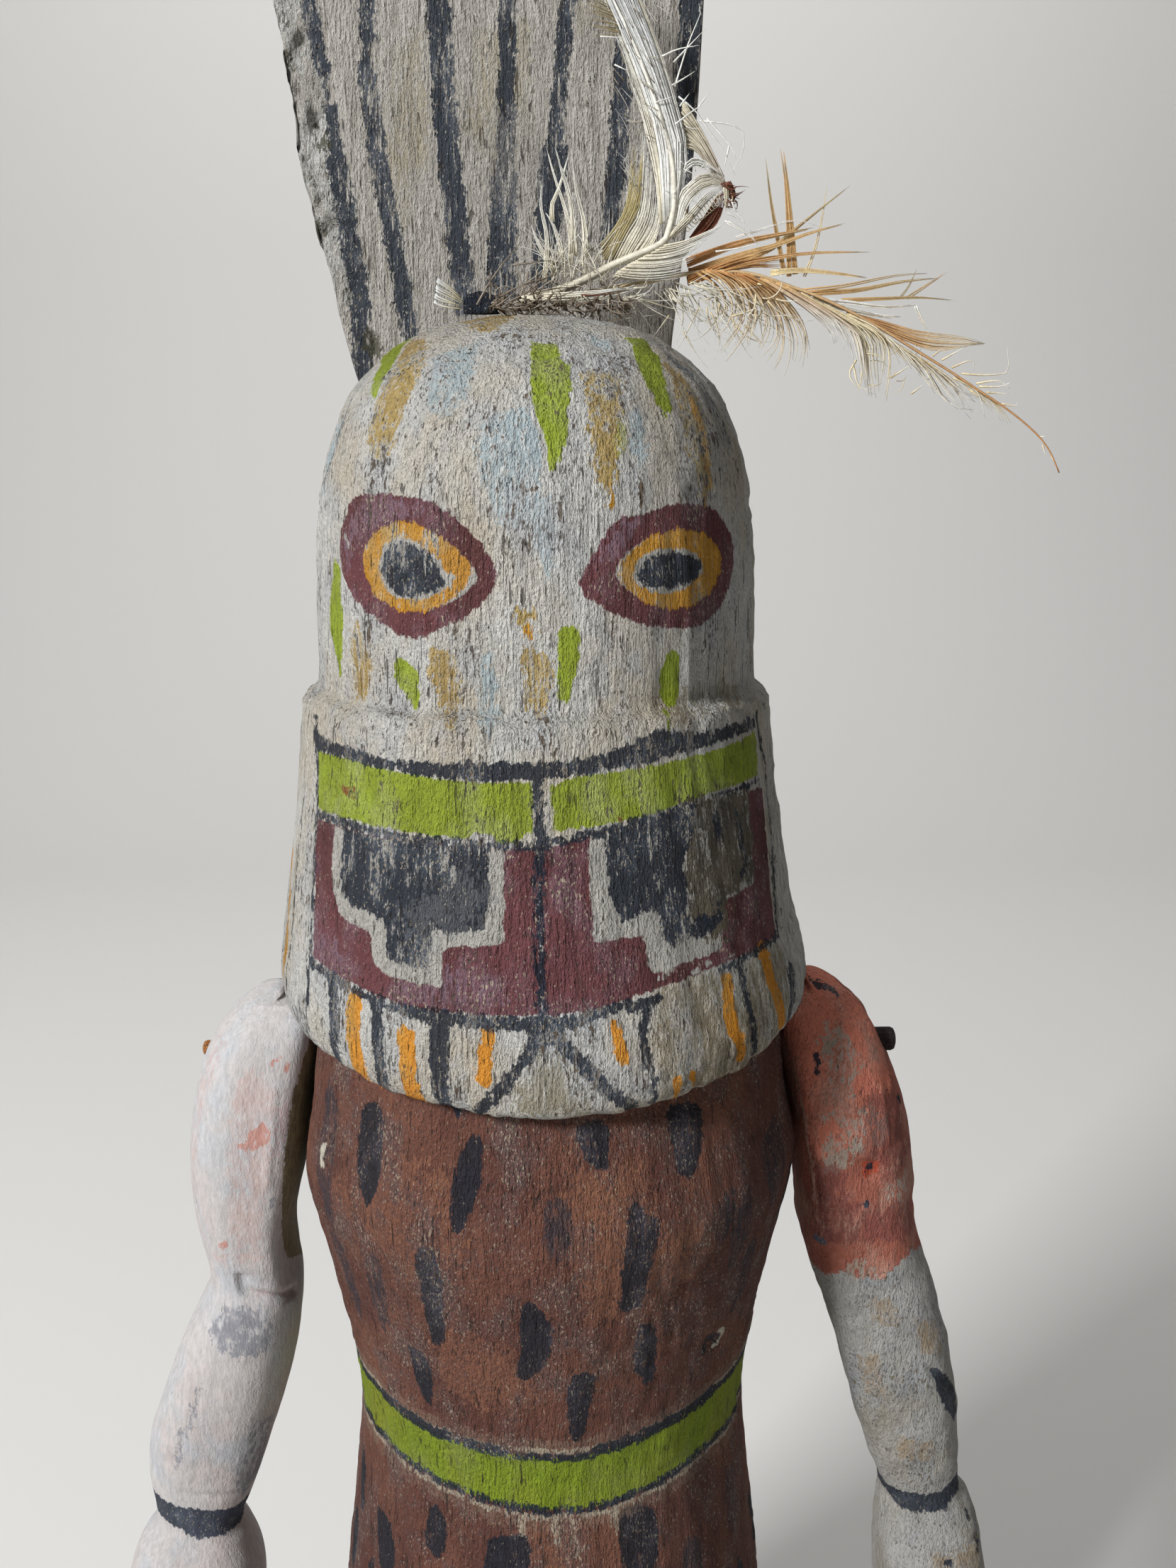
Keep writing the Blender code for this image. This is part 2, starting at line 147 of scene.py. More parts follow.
def hashed(cells, seed):
    """A random number from 0 to 1 for each whole-number cell."""
    mixed = (cells[..., 0] * 73856093) ^ (cells[..., 1] * 19349663) ^ (cells[..., 2] * 83492791)
    mixed ^= seed * 2654435761
    mixed = (mixed ^ (mixed >> 13)) * 1274126177 & 0xFFFFFFFF
    mixed = (mixed ^ (mixed >> 16)) * 2246822519 & 0xFFFFFFFF
    return ((mixed >> 8) & 0xFFFF) / 65535.0


def ripple(points, size, seed):
    """Smooth noise from -1 to 1 over points. size is one feature's size in mm, or one for each axis."""
    scaled = np.asarray(points, float) / np.asarray(size, float) + 97.3
    low = np.floor(scaled).astype(np.int64)
    part = scaled - low
    part = part * part * (3 - 2 * part)
    total = 0
    for corner in range(8):
        step = np.array([corner >> 2 & 1, corner >> 1 & 1, corner & 1])
        weight = np.prod(np.where(step, part, 1 - part), axis=-1)
        total = total + weight * hashed(low + step, seed)
    return total * 2 - 1


def grid_mesh(name, points, cap_ends=False):
    """A mesh from rows of points, rows x columns x 3 in millimetres, closed around the columns."""
    rows, columns = points.shape[:2]
    index = np.arange(rows * columns).reshape(rows, columns)
    right = np.roll(index, -1, axis=1)
    faces = np.stack([index[:-1], index[1:], right[1:], right[:-1]], axis=-1).reshape(-1, 4).tolist()
    if cap_ends:
        faces += [index[0].tolist(), index[-1][::-1].tolist()]
    mesh = bpy.data.meshes.new(name)
    mesh.from_pydata((points.reshape(-1, 3) * MM).tolist(), [], faces)
    mesh.validate()
    mesh.shade_smooth()
    return mesh


def normals_of(points):
    """Outward directions of a grid of points that is closed around its columns."""
    around = np.roll(points, -1, axis=1) - np.roll(points, 1, axis=1)
    along = np.gradient(points, axis=0)
    normal = np.cross(along, around)
    length = np.linalg.norm(normal, axis=-1, keepdims=True)
    return normal / np.maximum(length, 1e-9)


def keep_field(mesh, name, values):
    """Keeps a number for each point of the mesh. A single number serves them all."""
    attribute = mesh.attributes.new(name, "FLOAT", "POINT")
    spread = np.broadcast_to(np.ravel(values), len(mesh.vertices))
    attribute.data.foreach_set("value", np.array(spread, np.float32))


def piece(name, mesh, material, slot, *nodes):
    """Adds a visible piece to the body, standing for the frame's named nodes."""
    obj = bpy.data.objects.new(name, mesh)
    bpy.context.scene.collection.objects.link(obj)
    mesh.materials.append(material)
    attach(obj, "root")
    if nodes:
        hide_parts(*nodes)


# -------- brushwork
UNROLLED = 180 / math.pi    # at this radius a degree is a millimetre, so angles are plain distances
UNPAINTED = -9.0


class Brushwork:
    """Painted shapes on a turned surface. Places are (angle from the front in degrees, height in mm).
    Each colour is a field: how far inside its shapes a point lies, in millimetres, below 0 outside."""

    def __init__(self, angle, height, radius, rise=None):
        self.rise = rise or (lambda height: height)
        self.angle, self.height = angle.ravel(), height.ravel()
        self.run = self.rise(self.height)
        radius = np.broadcast_to(np.ravel(radius), self.angle.size)
        self.per_degree = np.maximum(radius, 6) * math.pi / 180
        self.fields = {}

    def places(self, places):
        places = np.array(places, float)
        places[:, 1] = self.rise(places[:, 1])
        return places

    def near(self, places, margin):
        low, high = places.min(axis=0), places.max(axis=0)
        wide = margin / self.per_degree
        inside = (self.angle > low[0] - wide) & (self.angle < high[0] + wide)
        inside &= (self.run > low[1] - margin) & (self.run < high[1] + margin)
        return np.nonzero(inside)[0]

    def lay(self, colour, where, depth, over=True):
        field = self.fields.setdefault(colour, np.full(self.angle.size, UNPAINTED))
        field[where] = np.maximum(field[where], depth) if over else np.minimum(field[where], -depth)

    def stroke(self, colour, places, width, end_width=None):
        """A brush stroke through the places. The width may change along it."""
        places = self.places(places)
        end_width = width if end_width is None else end_width
        where = self.near(places, max(width, end_width) / 2 + 8)
        best = np.full(where.size, UNPAINTED)
        along = np.linspace(0, 1, len(places))
        k = self.per_degree[where]
        for (a0, h0), (a1, h1), t0, t1 in zip(places, places[1:], along, along[1:]):
            x, y = (self.angle[where] - a0) * k, self.run[where] - h0
            dx, dy = (a1 - a0) * k, h1 - h0
            t = np.clip((x * dx + y * dy) / np.maximum(dx * dx + dy * dy, 1e-9), 0, 1)
            half = (width + (end_width - width) * (t0 + (t1 - t0) * t)) / 2
            best = np.maximum(best, half - np.hypot(x - t * dx, y - t * dy))
        self.lay(colour, where, best)

    def patch(self, colour, places, over=True, smooth=False, grow=0.0):
        """A filled shape. smooth rounds it through its places, grow widens it by that many millimetres, and
        over=False takes it away from its colour."""
        places = self.places(places)
        if smooth:
            places = catmull_loop(places, 5)
        where = self.near(places, 8)
        k = self.per_degree[where]
        px, py = self.angle[where] * k, self.run[where]
        nearest, inside = np.full(where.size, 1e9), np.zeros(where.size, bool)
        for (a0, h0), (a1, h1) in zip(places, np.roll(places, -1, axis=0)):
            x0, x1 = a0 * k, a1 * k
            dx, dy = x1 - x0, h1 - h0
            t = np.clip(((px - x0) * dx + (py - h0) * dy) / np.maximum(dx * dx + dy * dy, 1e-9), 0, 1)
            nearest = np.minimum(nearest, np.hypot(px - x0 - t * dx, py - h0 - t * dy))
            crosses = (h0 > py) != (h1 > py)
            at = x0 + (py - h0) * dx / (dy if dy else 1e-9)
            inside ^= crosses & (px < at)
        self.lay(colour, where, np.where(inside, nearest, -nearest) + grow, over)

    def dab(self, colour, angle, height, width, tall, lean=0.0):
        """A long dab, narrower at its ends. width and tall are in millimetres, lean in degrees of angle."""
        half = width / 2 / (44 * math.pi / 180)
        outline = ((lean, 0.5), (half + lean * 0.5, 0.26), (half - lean * 0.5, -0.24),
                   (half * 0.2 - lean, -0.5), (-half - lean * 0.6, -0.28), (lean * 0.4 - half, 0.3))
        self.patch(colour, [(angle + a, height + tall * up) for a, up in outline])

    def patches(self, by_colour, smooth=False):
        for colour, shapes in by_colour.items():
            for places in shapes:
                self.patch(colour, places, smooth=smooth)

    def strokes(self, by_colour):
        for colour, lines in by_colour.items():
            for places, width in lines:
                self.stroke(colour, places, width)

    def keep(self, mesh, films):
        """Keeps on the mesh the field that each film fills."""
        for layer in films:
            keep_field(mesh, layer["fills"], self.fields.get(layer["fills"], UNPAINTED))


# -------- shader helpers
def feed(tree, target, socket, value):
    """Puts a link or a plain value into a socket, found by name or by number."""
    place = target.inputs[socket]
    if isinstance(value, bpy.types.NodeSocket):
        tree.links.new(value, place)
    elif isinstance(value, (tuple, list)) and place.type == "RGBA" and len(value) == 3:
        place.default_value = (*value, 1.0)
    else:
        place.default_value = value


def calc(tree, operation, *values):
    made = tree.nodes.new("ShaderNodeMath")
    made.operation = operation
    for i, value in enumerate(values):
        feed(tree, made, i, value)
    return made.outputs[0]


def blend(tree, share, one, two, mode="MIX"):
    made = tree.nodes.new("ShaderNodeMix")
    made.data_type = "RGBA"
    made.blend_type = mode
    feed(tree, made, 0, share)
    feed(tree, made, 6, one)
    feed(tree, made, 7, two)
    return made.outputs[2]


def remap(tree, value, low, high, to_low=0.0, to_high=1.0):
    made = tree.nodes.new("ShaderNodeMapRange")
    for i, part in enumerate((value, low, high, to_low, to_high)):
        feed(tree, made, i, part)
    return made.outputs[0]


def noise(tree, vector, scale, detail, rough):
    made = tree.nodes.new("ShaderNodeTexNoise")
    for key, value in (("Vector", vector), ("Scale", scale), ("Detail", detail), ("Roughness", rough)):
        feed(tree, made, key, value)
    return made.outputs["Fac"]


def new_group(name, inputs, outputs):
    """A shader group with named sockets. Each entry is (name, kind, default)."""
    tree = bpy.data.node_groups.new(name, "ShaderNodeTree")
    for label, kind, default in inputs:
        socket = tree.interface.new_socket(label, in_out="INPUT", socket_type="NodeSocket" + kind)
        if default is not None:
            socket.default_value = default
    for label, kind in outputs:
        tree.interface.new_socket(label, in_out="OUTPUT", socket_type="NodeSocket" + kind)
    return tree, tree.nodes.new("NodeGroupInput"), tree.nodes.new("NodeGroupOutput")


def use(tree, group, **inputs):
    made = tree.nodes.new("ShaderNodeGroup")
    made.node_tree = group
    for key, value in inputs.items():
        feed(tree, made, key.replace("_", " "), value)
    return made


def weathered_grain_group():
    """Old upright cottonwood grain under thin paint. Every mask runs from 0 to 1."""
    tree, given, result = new_group(
        "weathered grain",
        [("Fine", "Float", 1000.0), ("Stretch", "Float", 0.08), ("Checked", "Float", 0.5),
         ("Crusted", "Float", 0.0)],
        [(label, "Float") for label in GRAIN_MASKS])
    coordinates = tree.nodes.new("ShaderNodeTexCoord").outputs["Object"]

    def squashed(upright, shift=0.0):
        place = tree.nodes.new("ShaderNodeVectorMath")
        place.operation = "MULTIPLY_ADD"
        feed(tree, place, 0, coordinates)
        squash = tree.nodes.new("ShaderNodeCombineXYZ")
        feed(tree, squash, "X", 1.0)
        feed(tree, squash, "Y", 1.0)
        feed(tree, squash, "Z", upright)
        feed(tree, place, 1, squash.outputs[0])
        feed(tree, place, 2, (shift, shift, shift))
        return place.outputs[0]

    fine = given.outputs["Fine"]
    drawn = squashed(given.outputs["Stretch"])
    streaks = remap(tree, noise(tree, drawn, fine, 3.0, 0.62), 0.32, 0.68)
    haze = remap(tree, noise(tree, squashed(0.6, 3.1), 120.0, 4.0, 0.62), 0.34, 0.66)
    mottle = remap(tree, noise(tree, squashed(0.7, 7.7), 42.0, 4.0, 0.6), 0.34, 0.66)
    wander = calc(tree, "SUBTRACT",
                  noise(tree, squashed(0.55, 1.3), calc(tree, "MULTIPLY", fine, 0.9), 3.0, 0.7), 0.5)
    lines = noise(tree, squashed(0.06, 5.9), calc(tree, "MULTIPLY", fine, 2.2), 2.0, 0.6)
    crumbs = noise(tree, squashed(0.85, 29.0), calc(tree, "MULTIPLY", fine, 0.95), 4.0, 0.7)
    lines = calc(tree, "MULTIPLY_ADD", calc(tree, "SUBTRACT", crumbs, lines), given.outputs["Crusted"],
                 lines)
    grains = noise(tree, squashed(0.45, 11.0), calc(tree, "MULTIPLY", fine, 2.0), 3.0, 0.68)
    wear = calc(tree, "MULTIPLY_ADD", streaks, 0.26, calc(tree, "MULTIPLY_ADD", haze, 0.17, calc(
        tree, "MULTIPLY_ADD", lines, 0.44, calc(tree, "MULTIPLY", grains, 0.45))))
    limit = remap(tree, haze, 0.0, 1.0, 0.62, 0.54)
    stipple = remap(tree, calc(tree, "SUBTRACT", grains, limit), -0.03, 0.09)
    grit = noise(tree, squashed(0.5, 17.0), calc(tree, "MULTIPLY", fine, 2.5), 2.0, 0.6)
    flecks = remap(tree, calc(tree, "ADD", grit, calc(tree, "MULTIPLY", haze, 0.14)), 0.70, 0.75)
    split = noise(tree, squashed(calc(tree, "MULTIPLY", given.outputs["Stretch"], 0.7), 0.4),
                  calc(tree, "MULTIPLY", fine, 1.9), 1.0, 0.5)
    opening = remap(tree, noise(tree, squashed(0.5, 23.0), 260.0, 3.0, 0.6), 0.3, 0.7)
    checked = calc(tree, "ADD", opening, given.outputs["Checked"])
    needed = calc(tree, "SUBTRACT", 0.83, calc(tree, "MULTIPLY", checked, 0.14))
    checks = remap(tree, calc(tree, "SUBTRACT", split, needed), -0.01, 0.03)
    proud = calc(tree, "MULTIPLY_ADD", streaks, 0.55,
                 calc(tree, "MULTIPLY_ADD", lines, 0.7, calc(tree, "MULTIPLY", haze, 0.25)))
    height = calc(tree, "SUBTRACT", proud, calc(tree, "MULTIPLY_ADD", grains, 1.5, checks))
    values = (streaks, stipple, flecks, checks, mottle, haze, wander, wear, height)
    for label, value in zip(GRAIN_MASKS, values):
        feed(tree, result, label, value)
    return tree


def paint_film_group():
    """A film of old paint over what lies below. Field is in millimetres inside the painted shape. Paint
    turns towards Warm with the broad mottling and towards Bloom with the haze. Specks and Flecks say how
    much of the dark stipple and of the pale grit shows on this film."""
    tree, given, result = new_group(
        "paint film",
        [(label, "Color", None) for label in ("Below", "Paint", "Warm", "Bloom")]
        + [("Field", "Float", 0.0), ("Ragged", "Float", 0.5), ("Worn", "Float", 0.3),
           ("Cover", "Float", 0.95), ("Specks", "Float", 0.5), ("Flecks", "Float", 0.2),
           ("Specks Below", "Float", 1.0), ("Flecks Below", "Float", 0.0), ("Film Below", "Float", 0.0)]
        + [(label, "Float", 0.5) for label in FILM_MASKS],
        [("Color", "Color"), ("Specks", "Float"), ("Flecks", "Float"), ("Film", "Float")])
    take = given.outputs
    shift = calc(tree, "ADD", calc(tree, "MULTIPLY", take["Wander"], 3.4),
                 calc(tree, "MULTIPLY", calc(tree, "SUBTRACT", take["Streaks"], 0.5), 0.7))
    inside = remap(tree, calc(tree, "MULTIPLY_ADD", shift, take["Ragged"], take["Field"]), -0.14, 0.14)
    limit = remap(tree, take["Worn"], 0.0, 1.0, 1.06, 0.30)
    thin = remap(tree, take["Cover"], 0.5, 1.0, 0.13, 0.03)
    over = calc(tree, "DIVIDE", calc(tree, "SUBTRACT", take["Wear"], limit), thin)
    kept = remap(tree, over, -1.0, 1.0, 1.0, 0.0)
    film = calc(tree, "MULTIPLY", calc(tree, "MULTIPLY", inside, kept), take["Cover"])
    toned = blend(tree, remap(tree, take["Mottle"], 0.35, 0.9), take["Paint"], take["Warm"])
    bloomed = calc(tree, "MULTIPLY", remap(tree, take["Haze"], 0.45, 1.0), 0.7)
    toned = blend(tree, bloomed, toned, take["Bloom"])
    toned = blend(tree, 1.0, toned, remap(tree, take["Streaks"], 0.0, 1.0, 0.86, 1.10), "MULTIPLY")
    feed(tree, result, "Color", blend(tree, film, take["Below"], toned))
    for label in ("Specks", "Flecks"):
        feed(tree, result, label, remap(tree, film, 0.0, 1.0, take[label + " Below"], take[label]))
    feed(tree, result, "Film", calc(tree, "MAXIMUM", film, take["Film Below"]))
    return tree


GRAIN_MASKS = ("Streaks", "Stipple", "Flecks", "Checks", "Mottle", "Haze", "Wander", "Wear", "Height")
FILM_MASKS = ("Streaks", "Mottle", "Haze", "Wander", "Wear")
GRAIN = weathered_grain_group()
FILM = paint_film_group()


def new_material(name):
    material = bpy.data.materials.new(name)
    material.use_nodes = True
    tree = material.node_tree
    shader = tree.nodes["Principled BSDF"]
    shader.inputs["Specular IOR Level"].default_value = 0.18
    return material, tree, shader


def field(tree, name):
    made = tree.nodes.new("ShaderNodeAttribute")
    made.attribute_name = name
    return made.outputs["Fac"]


def srgb(red, green, blue):
    """A paint colour as a screen shows it, 0 to 255, turned into the shader's linear values."""
    return tuple(((c / 255 + 0.055) / 1.055) ** 2.4 for c in (red, green, blue))


def film(fills, paint, warm=None, bloom=None, **wear):
    """One film of paint: the field it fills, its colours as a screen shows them, and how it is worn. What
    wear leaves out stays at the shader group's own setting."""
    colours = {"Paint": srgb(*paint), "Warm": srgb(*(warm or paint)), "Bloom": srgb(*(bloom or paint))}
    return {"fills": fills} | colours | {label.capitalize(): value for label, value in wear.items()}


def painted_wood(name, wood, films, fine=1000.0, stretch=0.08, checked=0.5, depth=1.1,
                 speck=(92, 84, 84), grit=(184, 170, 148), bare_specks=0.6):
    """Bare wood, light and dark, with films of paint over it. depth is the relief's, in millimetres."""
    material, tree, shader = new_material(name)
    grain = use(tree, GRAIN, Fine=fine, Stretch=stretch, Checked=checked)
    feed(tree, grain, "Crusted", field(tree, "crust"))
    masks = {label: grain.outputs[label] for label in GRAIN_MASKS}
    light, dark = (srgb(*tone) for tone in wood)
    colour = blend(tree, masks["Streaks"], dark, light)
    colour = blend(tree, calc(tree, "MULTIPLY", masks["Mottle"], 0.5), colour, dark)
    specks, flecks, covered = bare_specks, 0.0, 0.0
    for settings in films:
        layer = use(tree, FILM)
        settings = dict(settings)
        settings["Field"] = field(tree, settings.pop("fills"))
        settings |= {label: masks[label] for label in FILM_MASKS}
        settings |= {"Below": colour, "Specks Below": specks, "Flecks Below": flecks, "Film Below": covered}
        for label, value in settings.items():
            feed(tree, layer, label, value)
        colour, specks, flecks, covered = (layer.outputs[k] for k in ("Color", "Specks", "Flecks", "Film"))
    colour = blend(tree, calc(tree, "MULTIPLY", masks["Stipple"], specks), colour, srgb(*speck))
    colour = blend(tree, calc(tree, "MULTIPLY", masks["Flecks"], flecks), colour, srgb(*grit))
    colour = blend(tree, calc(tree, "MULTIPLY", masks["Checks"], 0.7), colour, srgb(56, 48, 44))
    feed(tree, shader, "Base Color", colour)
    feed(tree, shader, "Roughness", remap(tree, masks["Mottle"], 0.0, 1.0, 0.78, 0.92))
    height = calc(tree, "MULTIPLY_ADD", covered, 0.4, masks["Height"]) if films else masks["Height"]
    bump = tree.nodes.new("ShaderNodeBump")
    for label, value in (("Strength", 1.0), ("Distance", depth * MM), ("Height", height)):
        feed(tree, bump, label, value)
    feed(tree, shader, "Normal", bump.outputs["Normal"])
    return material


# -------- the carved block
def dome_run(height):
    """Turns a height on the dome into a distance over its curve, so that paint keeps its true size."""
    curve = catmull(DOME + HEAD[:1], 8)[::-1]
    run = np.concatenate([[0], np.cumsum(np.hypot(*np.diff(curve, axis=0).T))]) + curve[0, 1]
    return np.where(height < curve[0, 1], height, np.interp(height, curve[:, 1], run))


def figure_points():
    """Rows of points over the block, with each one's angle from the front in degrees."""
    curve = catmull(DOME + HEAD + LEDGE + MASK + RIM + CHEST + ROBE + HEM, 8)
    curve[:, 0] = np.maximum(curve[:, 0], 0.02)
    rows = resample(curve, lambda height: FINE_ROW if height > PLAIN_BELOW else PLAIN_ROW)
    even = np.linspace(-math.pi, math.pi, FIGURE_COLUMNS, endpoint=False)
    turn = even - FRONT_CROWDING * np.sin(even)
    half, level = rows[:, :1], rows[:, 1:]
    above = 1 - ease(level, RIM_HIGH, RIM_HIGH + 26)
    below = ease(level, RIM_LOW - 12, RIM_LOW)
    z = level + RIM_LIFT * np.sin(turn) ** 2 * above * below
    lean = LEAN * (1 - ease(level, LEAN_TO, LEAN_FROM))
    x = half * np.sin(turn) + lean
    y = -half * np.cos(turn) * np.ones_like(level)
    points = np.stack([x, y, z], axis=-1)
    return points, np.degrees(turn) * np.ones_like(level), half * np.ones_like(turn)


def cut(relief, work, cuts):
    """Presses cracks and gouges into the relief: places, width and depth, and a ridge where it is below 0."""
    for places, width, depth in cuts:
        work.fields.pop("cut", None)
        work.stroke("cut", places, width)
        inside = work.fields["cut"].reshape(relief.shape)
        relief = relief - depth * ease(inside, -width * 0.6, width * 0.4)
    return relief


def carve_figure(points, angle):
    """Knife facets, worn ridges, the rough ledge and old cracks, then the two flats for the arms."""
    normal = normals_of(points)
    height = points[..., 2]
    relief = 0.34 * ripple(points, (11, 11, 60), 3) + 0.28 * ripple(points, (2.6, 2.6, 24), 5)
    relief += 0.21 * ripple(points, (1.7, 1.7, 5), 7)
    rough = np.clip(ripple(points, (20, 20, 26), 8) + 0.25, 0, 1)
    relief += 0.44 * rough * ripple(points, (1.6, 1.6, 2.2), 9)
    at_ledge = np.exp(-((height - LEDGE_AT) / 2.4) ** 2)
    crumbs = 0.46 * ripple(points, (6, 6, 40), 11) + 0.62 * ripple(points, (1.9, 1.9, 2.4), 12)
    relief += at_ledge * crumbs
    body = ease(height, 280, 262)
    relief += body * (0.2 * ripple(points, (5.2, 5.2, 26), 17) + 0.08 * ripple(points, (1.6, 1.6, 3), 18))
    rim = np.exp(-((height - LIP_AT) / 2.2) ** 2) * (1 - body)
    relief += rim * 0.3 * ripple(points, (3.4, 3.4, 6), 19)
    reach = np.hypot(points[..., 0], points[..., 1])
    relief = cut(relief, Brushwork(angle, height, reach), FIGURE_CRACKS)
    points = points + normal * relief[..., None]
    points[..., 2] += at_ledge * 0.6 * ripple(points, (9, 9, 500), 13)
    in_depth = np.abs(points[..., 1]) < FLAT_HALF_DEPTH
    in_height = points[..., 2] < FLAT_TOP
    slope_at = (FLAT_TOP - points[..., 2]) / (FLAT_TOP - FLAT_FOOT)
    for side, (top, foot) in ((-1, RIGHT_FLAT), (1, LEFT_FLAT)):
        flat = top + (foot - top) * slope_at
        proud = (side * points[..., 0] > flat) & in_depth & in_height
        points[..., 0] = np.where(proud, side * flat, points[..., 0])
    return points


# Places on the block are (angle from the front in degrees, height in millimetres), from here to the belt.
# Cracks and gouges: places, width and depth in millimetres.
FIGURE_CRACKS = [
    ([(-14, 341), (-13, 335), (-15, 327)], 0.9, 0.8), ([(-4, 336), (-3, 331), (-4, 325)], 0.8, 0.7),
    ([(-16, 387), (-16, 379)], 0.7, 0.4), ([(5, 385), (4.5, 375)], 0.7, 0.4),
    ([(21, 389), (20, 383)], 0.8, 0.5), ([(7.8, 324), (6.4, 314), (7, 303), (8.4, 297)], 0.8, 0.7),
    ([(-12, 281), (-11.5, 275)], 0.8, 0.5), ([(22, 346), (22, 339)], 0.7, 0.4),
    ([(-6, 411.2), (-6, 410)], 1.5, 0.8), ([(-7, 405.4), (-5.6, 404.6)], 1.3, 0.7),
    ([(42, 217), (45, 215)], 2.6, 1.0), ([(-8, 236.5), (-4, 236)], 1.1, 0.5),
    ([(-60, 255.5), (-59, 253)], 2.2, -0.5), ([(3, 192), (3, 186)], 0.8, 0.4),
    ([(4, 262), (3, 249)], 0.6, 0.35), ([(12, 244), (12.4, 235)], 0.6, 0.35),
    ([(-10, 250), (-11, 240)], 0.6, 0.35), ([(-12, 231.6), (-6, 231), (-2, 231.6)], 0.7, 0.35),
    ([(22, 262), (21, 250)], 0.6, 0.35), ([(30, 236), (29, 222)], 0.6, 0.35),
]

RIGHT_EYE = {
    "maroon": [(-58, 377), (-52, 385), (-40, 386.5), (-25, 385), (-14, 379), (-9, 372.4), (-14, 366.6),
               (-22, 363.5), (-31, 361.2), (-42, 364.4), (-53, 369.5)],
    "white line": [(-46, 375), (-41, 380), (-32, 381.4), (-22, 378.8), (-15.5, 374.6), (-14, 371.6),
                   (-20, 368), (-30, 366.4), (-40, 368.4)],
    "ochre": [(-46.4, 375), (-41, 380.2), (-31.6, 381.8), (-22, 379), (-15, 373.8), (-18.6, 369.4),
              (-26, 366.2), (-34, 366.1), (-42.4, 369)],
    "dark": [(-39.5, 373.6), (-38, 377), (-33, 378.3), (-26, 376.3), (-22, 373), (-23, 370), (-30, 368.7),
             (-36, 369.4)],
}
LEFT_EYE = {
    "maroon": [(10, 371.4), (14, 377), (19, 382), (26, 383), (35, 384.6), (48, 384.2), (56, 380.4),
               (59.5, 375), (56, 369), (47, 363.6), (36, 362.4), (25, 363.8), (15, 367)],
    "white line": [(18.4, 373), (23, 377.2), (31, 379.4), (41, 379.6), (48.4, 377.6), (51, 374),
                   (48.6, 369.8), (41, 366.9), (31, 366.6), (22.4, 369.4)],
    "ochre": [(19, 373), (24, 377.4), (32, 379.9), (41, 380), (49, 378), (51.9, 374), (49, 369.4),
              (40, 366.4), (31, 366.2), (23.4, 368.8)],
    "dark": [(24, 372.4), (27, 375.6), (34, 376.2), (41, 375.4), (43.6, 373.4), (40, 371), (33, 369.6),
             (26, 370.6)],
}

# Sheer colours over the dome and under the eyes.
DOME_PATCHES = {
    "lime": [
        [(-86, 418), (-84, 413), (-65, 410), (-54, 404), (-51, 403.6), (-54, 409.6), (-66, 415)],
        [(-1, 413), (8, 412.6), (8, 409.6), (11, 409), (9, 403), (8, 397), (5, 390), (3, 391), (2, 396),
         (0, 400.5), (-1, 404)],
        [(39, 414.6), (51, 414.6), (48, 411), (42, 407.4), (40, 401.6), (37, 399.6), (33, 406.6),
         (35, 410.2)],
        [(-60, 374.4), (-64, 368), (-63.5, 361), (-57.5, 352), (-56, 360), (-56.5, 372)],
        [(-36, 356), (-35, 353), (-31, 349.2), (-28, 348.4), (-29, 355.4), (-34, 357.8)],
        [(5, 364), (10, 363.8), (10, 359), (7, 350), (5, 350.4), (4.6, 357)],
        [(33, 359.2), (30, 354), (30.6, 350), (33, 347.8), (36, 350), (36, 358)]],
    "sheer lime": [[(22, 400.6), (20, 396), (20, 392), (22.6, 394), (24, 399)]],
    "sheer ochre": [
        [(-61, 414.6), (-47, 414.2), (-37, 409), (-37, 402), (-38, 395), (-41, 391.6), (-45, 392.4),
         (-49, 397), (-50, 407), (-55, 411)],
        [(-14, 418), (-16, 414.6), (-42, 417.4), (-60, 419.6), (-20, 420.2)],
        [(14, 407.6), (26, 407.4), (24, 402), (22, 398), (20, 390), (17, 384), (15, 390), (13, 398)],
        [(47, 411), (54, 407), (54, 397), (50, 388), (45, 384), (43, 391), (42, 400), (45, 406)],
        [(-49, 363.4), (-52, 359), (-50, 348.8), (-44, 349.4), (-44, 359)],
        [(-25, 360.4), (-26, 355), (-21, 347), (-18, 345.2), (-17.6, 352), (-19.4, 359)],
        [(-5, 367), (-5, 362.6), (-1, 363), (-1, 367)],
        [(-3.6, 360), (-3, 349), (2, 347.6), (3.4, 352), (3, 359)],
        [(73, 356), (74, 351), (78, 353), (77, 356)]],
    "ochre": [[(-2.6, 365), (-3, 361.6), (-1, 361.6), (-0.8, 364.6)]],
    "pale blue": [
        [(-34, 410.6), (-20, 413.4), (-18, 407), (-19, 402.6), (-24, 399.2), (-31, 402), (-32, 406)],
        [(-14, 399.4), (-2, 401.4), (1.6, 395), (1, 387), (0, 381), (-9, 381), (-13, 390), (-14, 395)],
        [(-14, 358.4), (-13.4, 348.6), (-11, 344.4), (-9, 347), (-9, 354), (-10, 359)],
        [(-2, 386), (-1, 379), (2, 372), (4, 374), (4, 386)],
        [(21, 415), (28, 413.4), (28, 411.4), (21, 412.6)],
        [(25, 400), (24, 394), (27, 390), (29, 396), (29, 402)]],
}
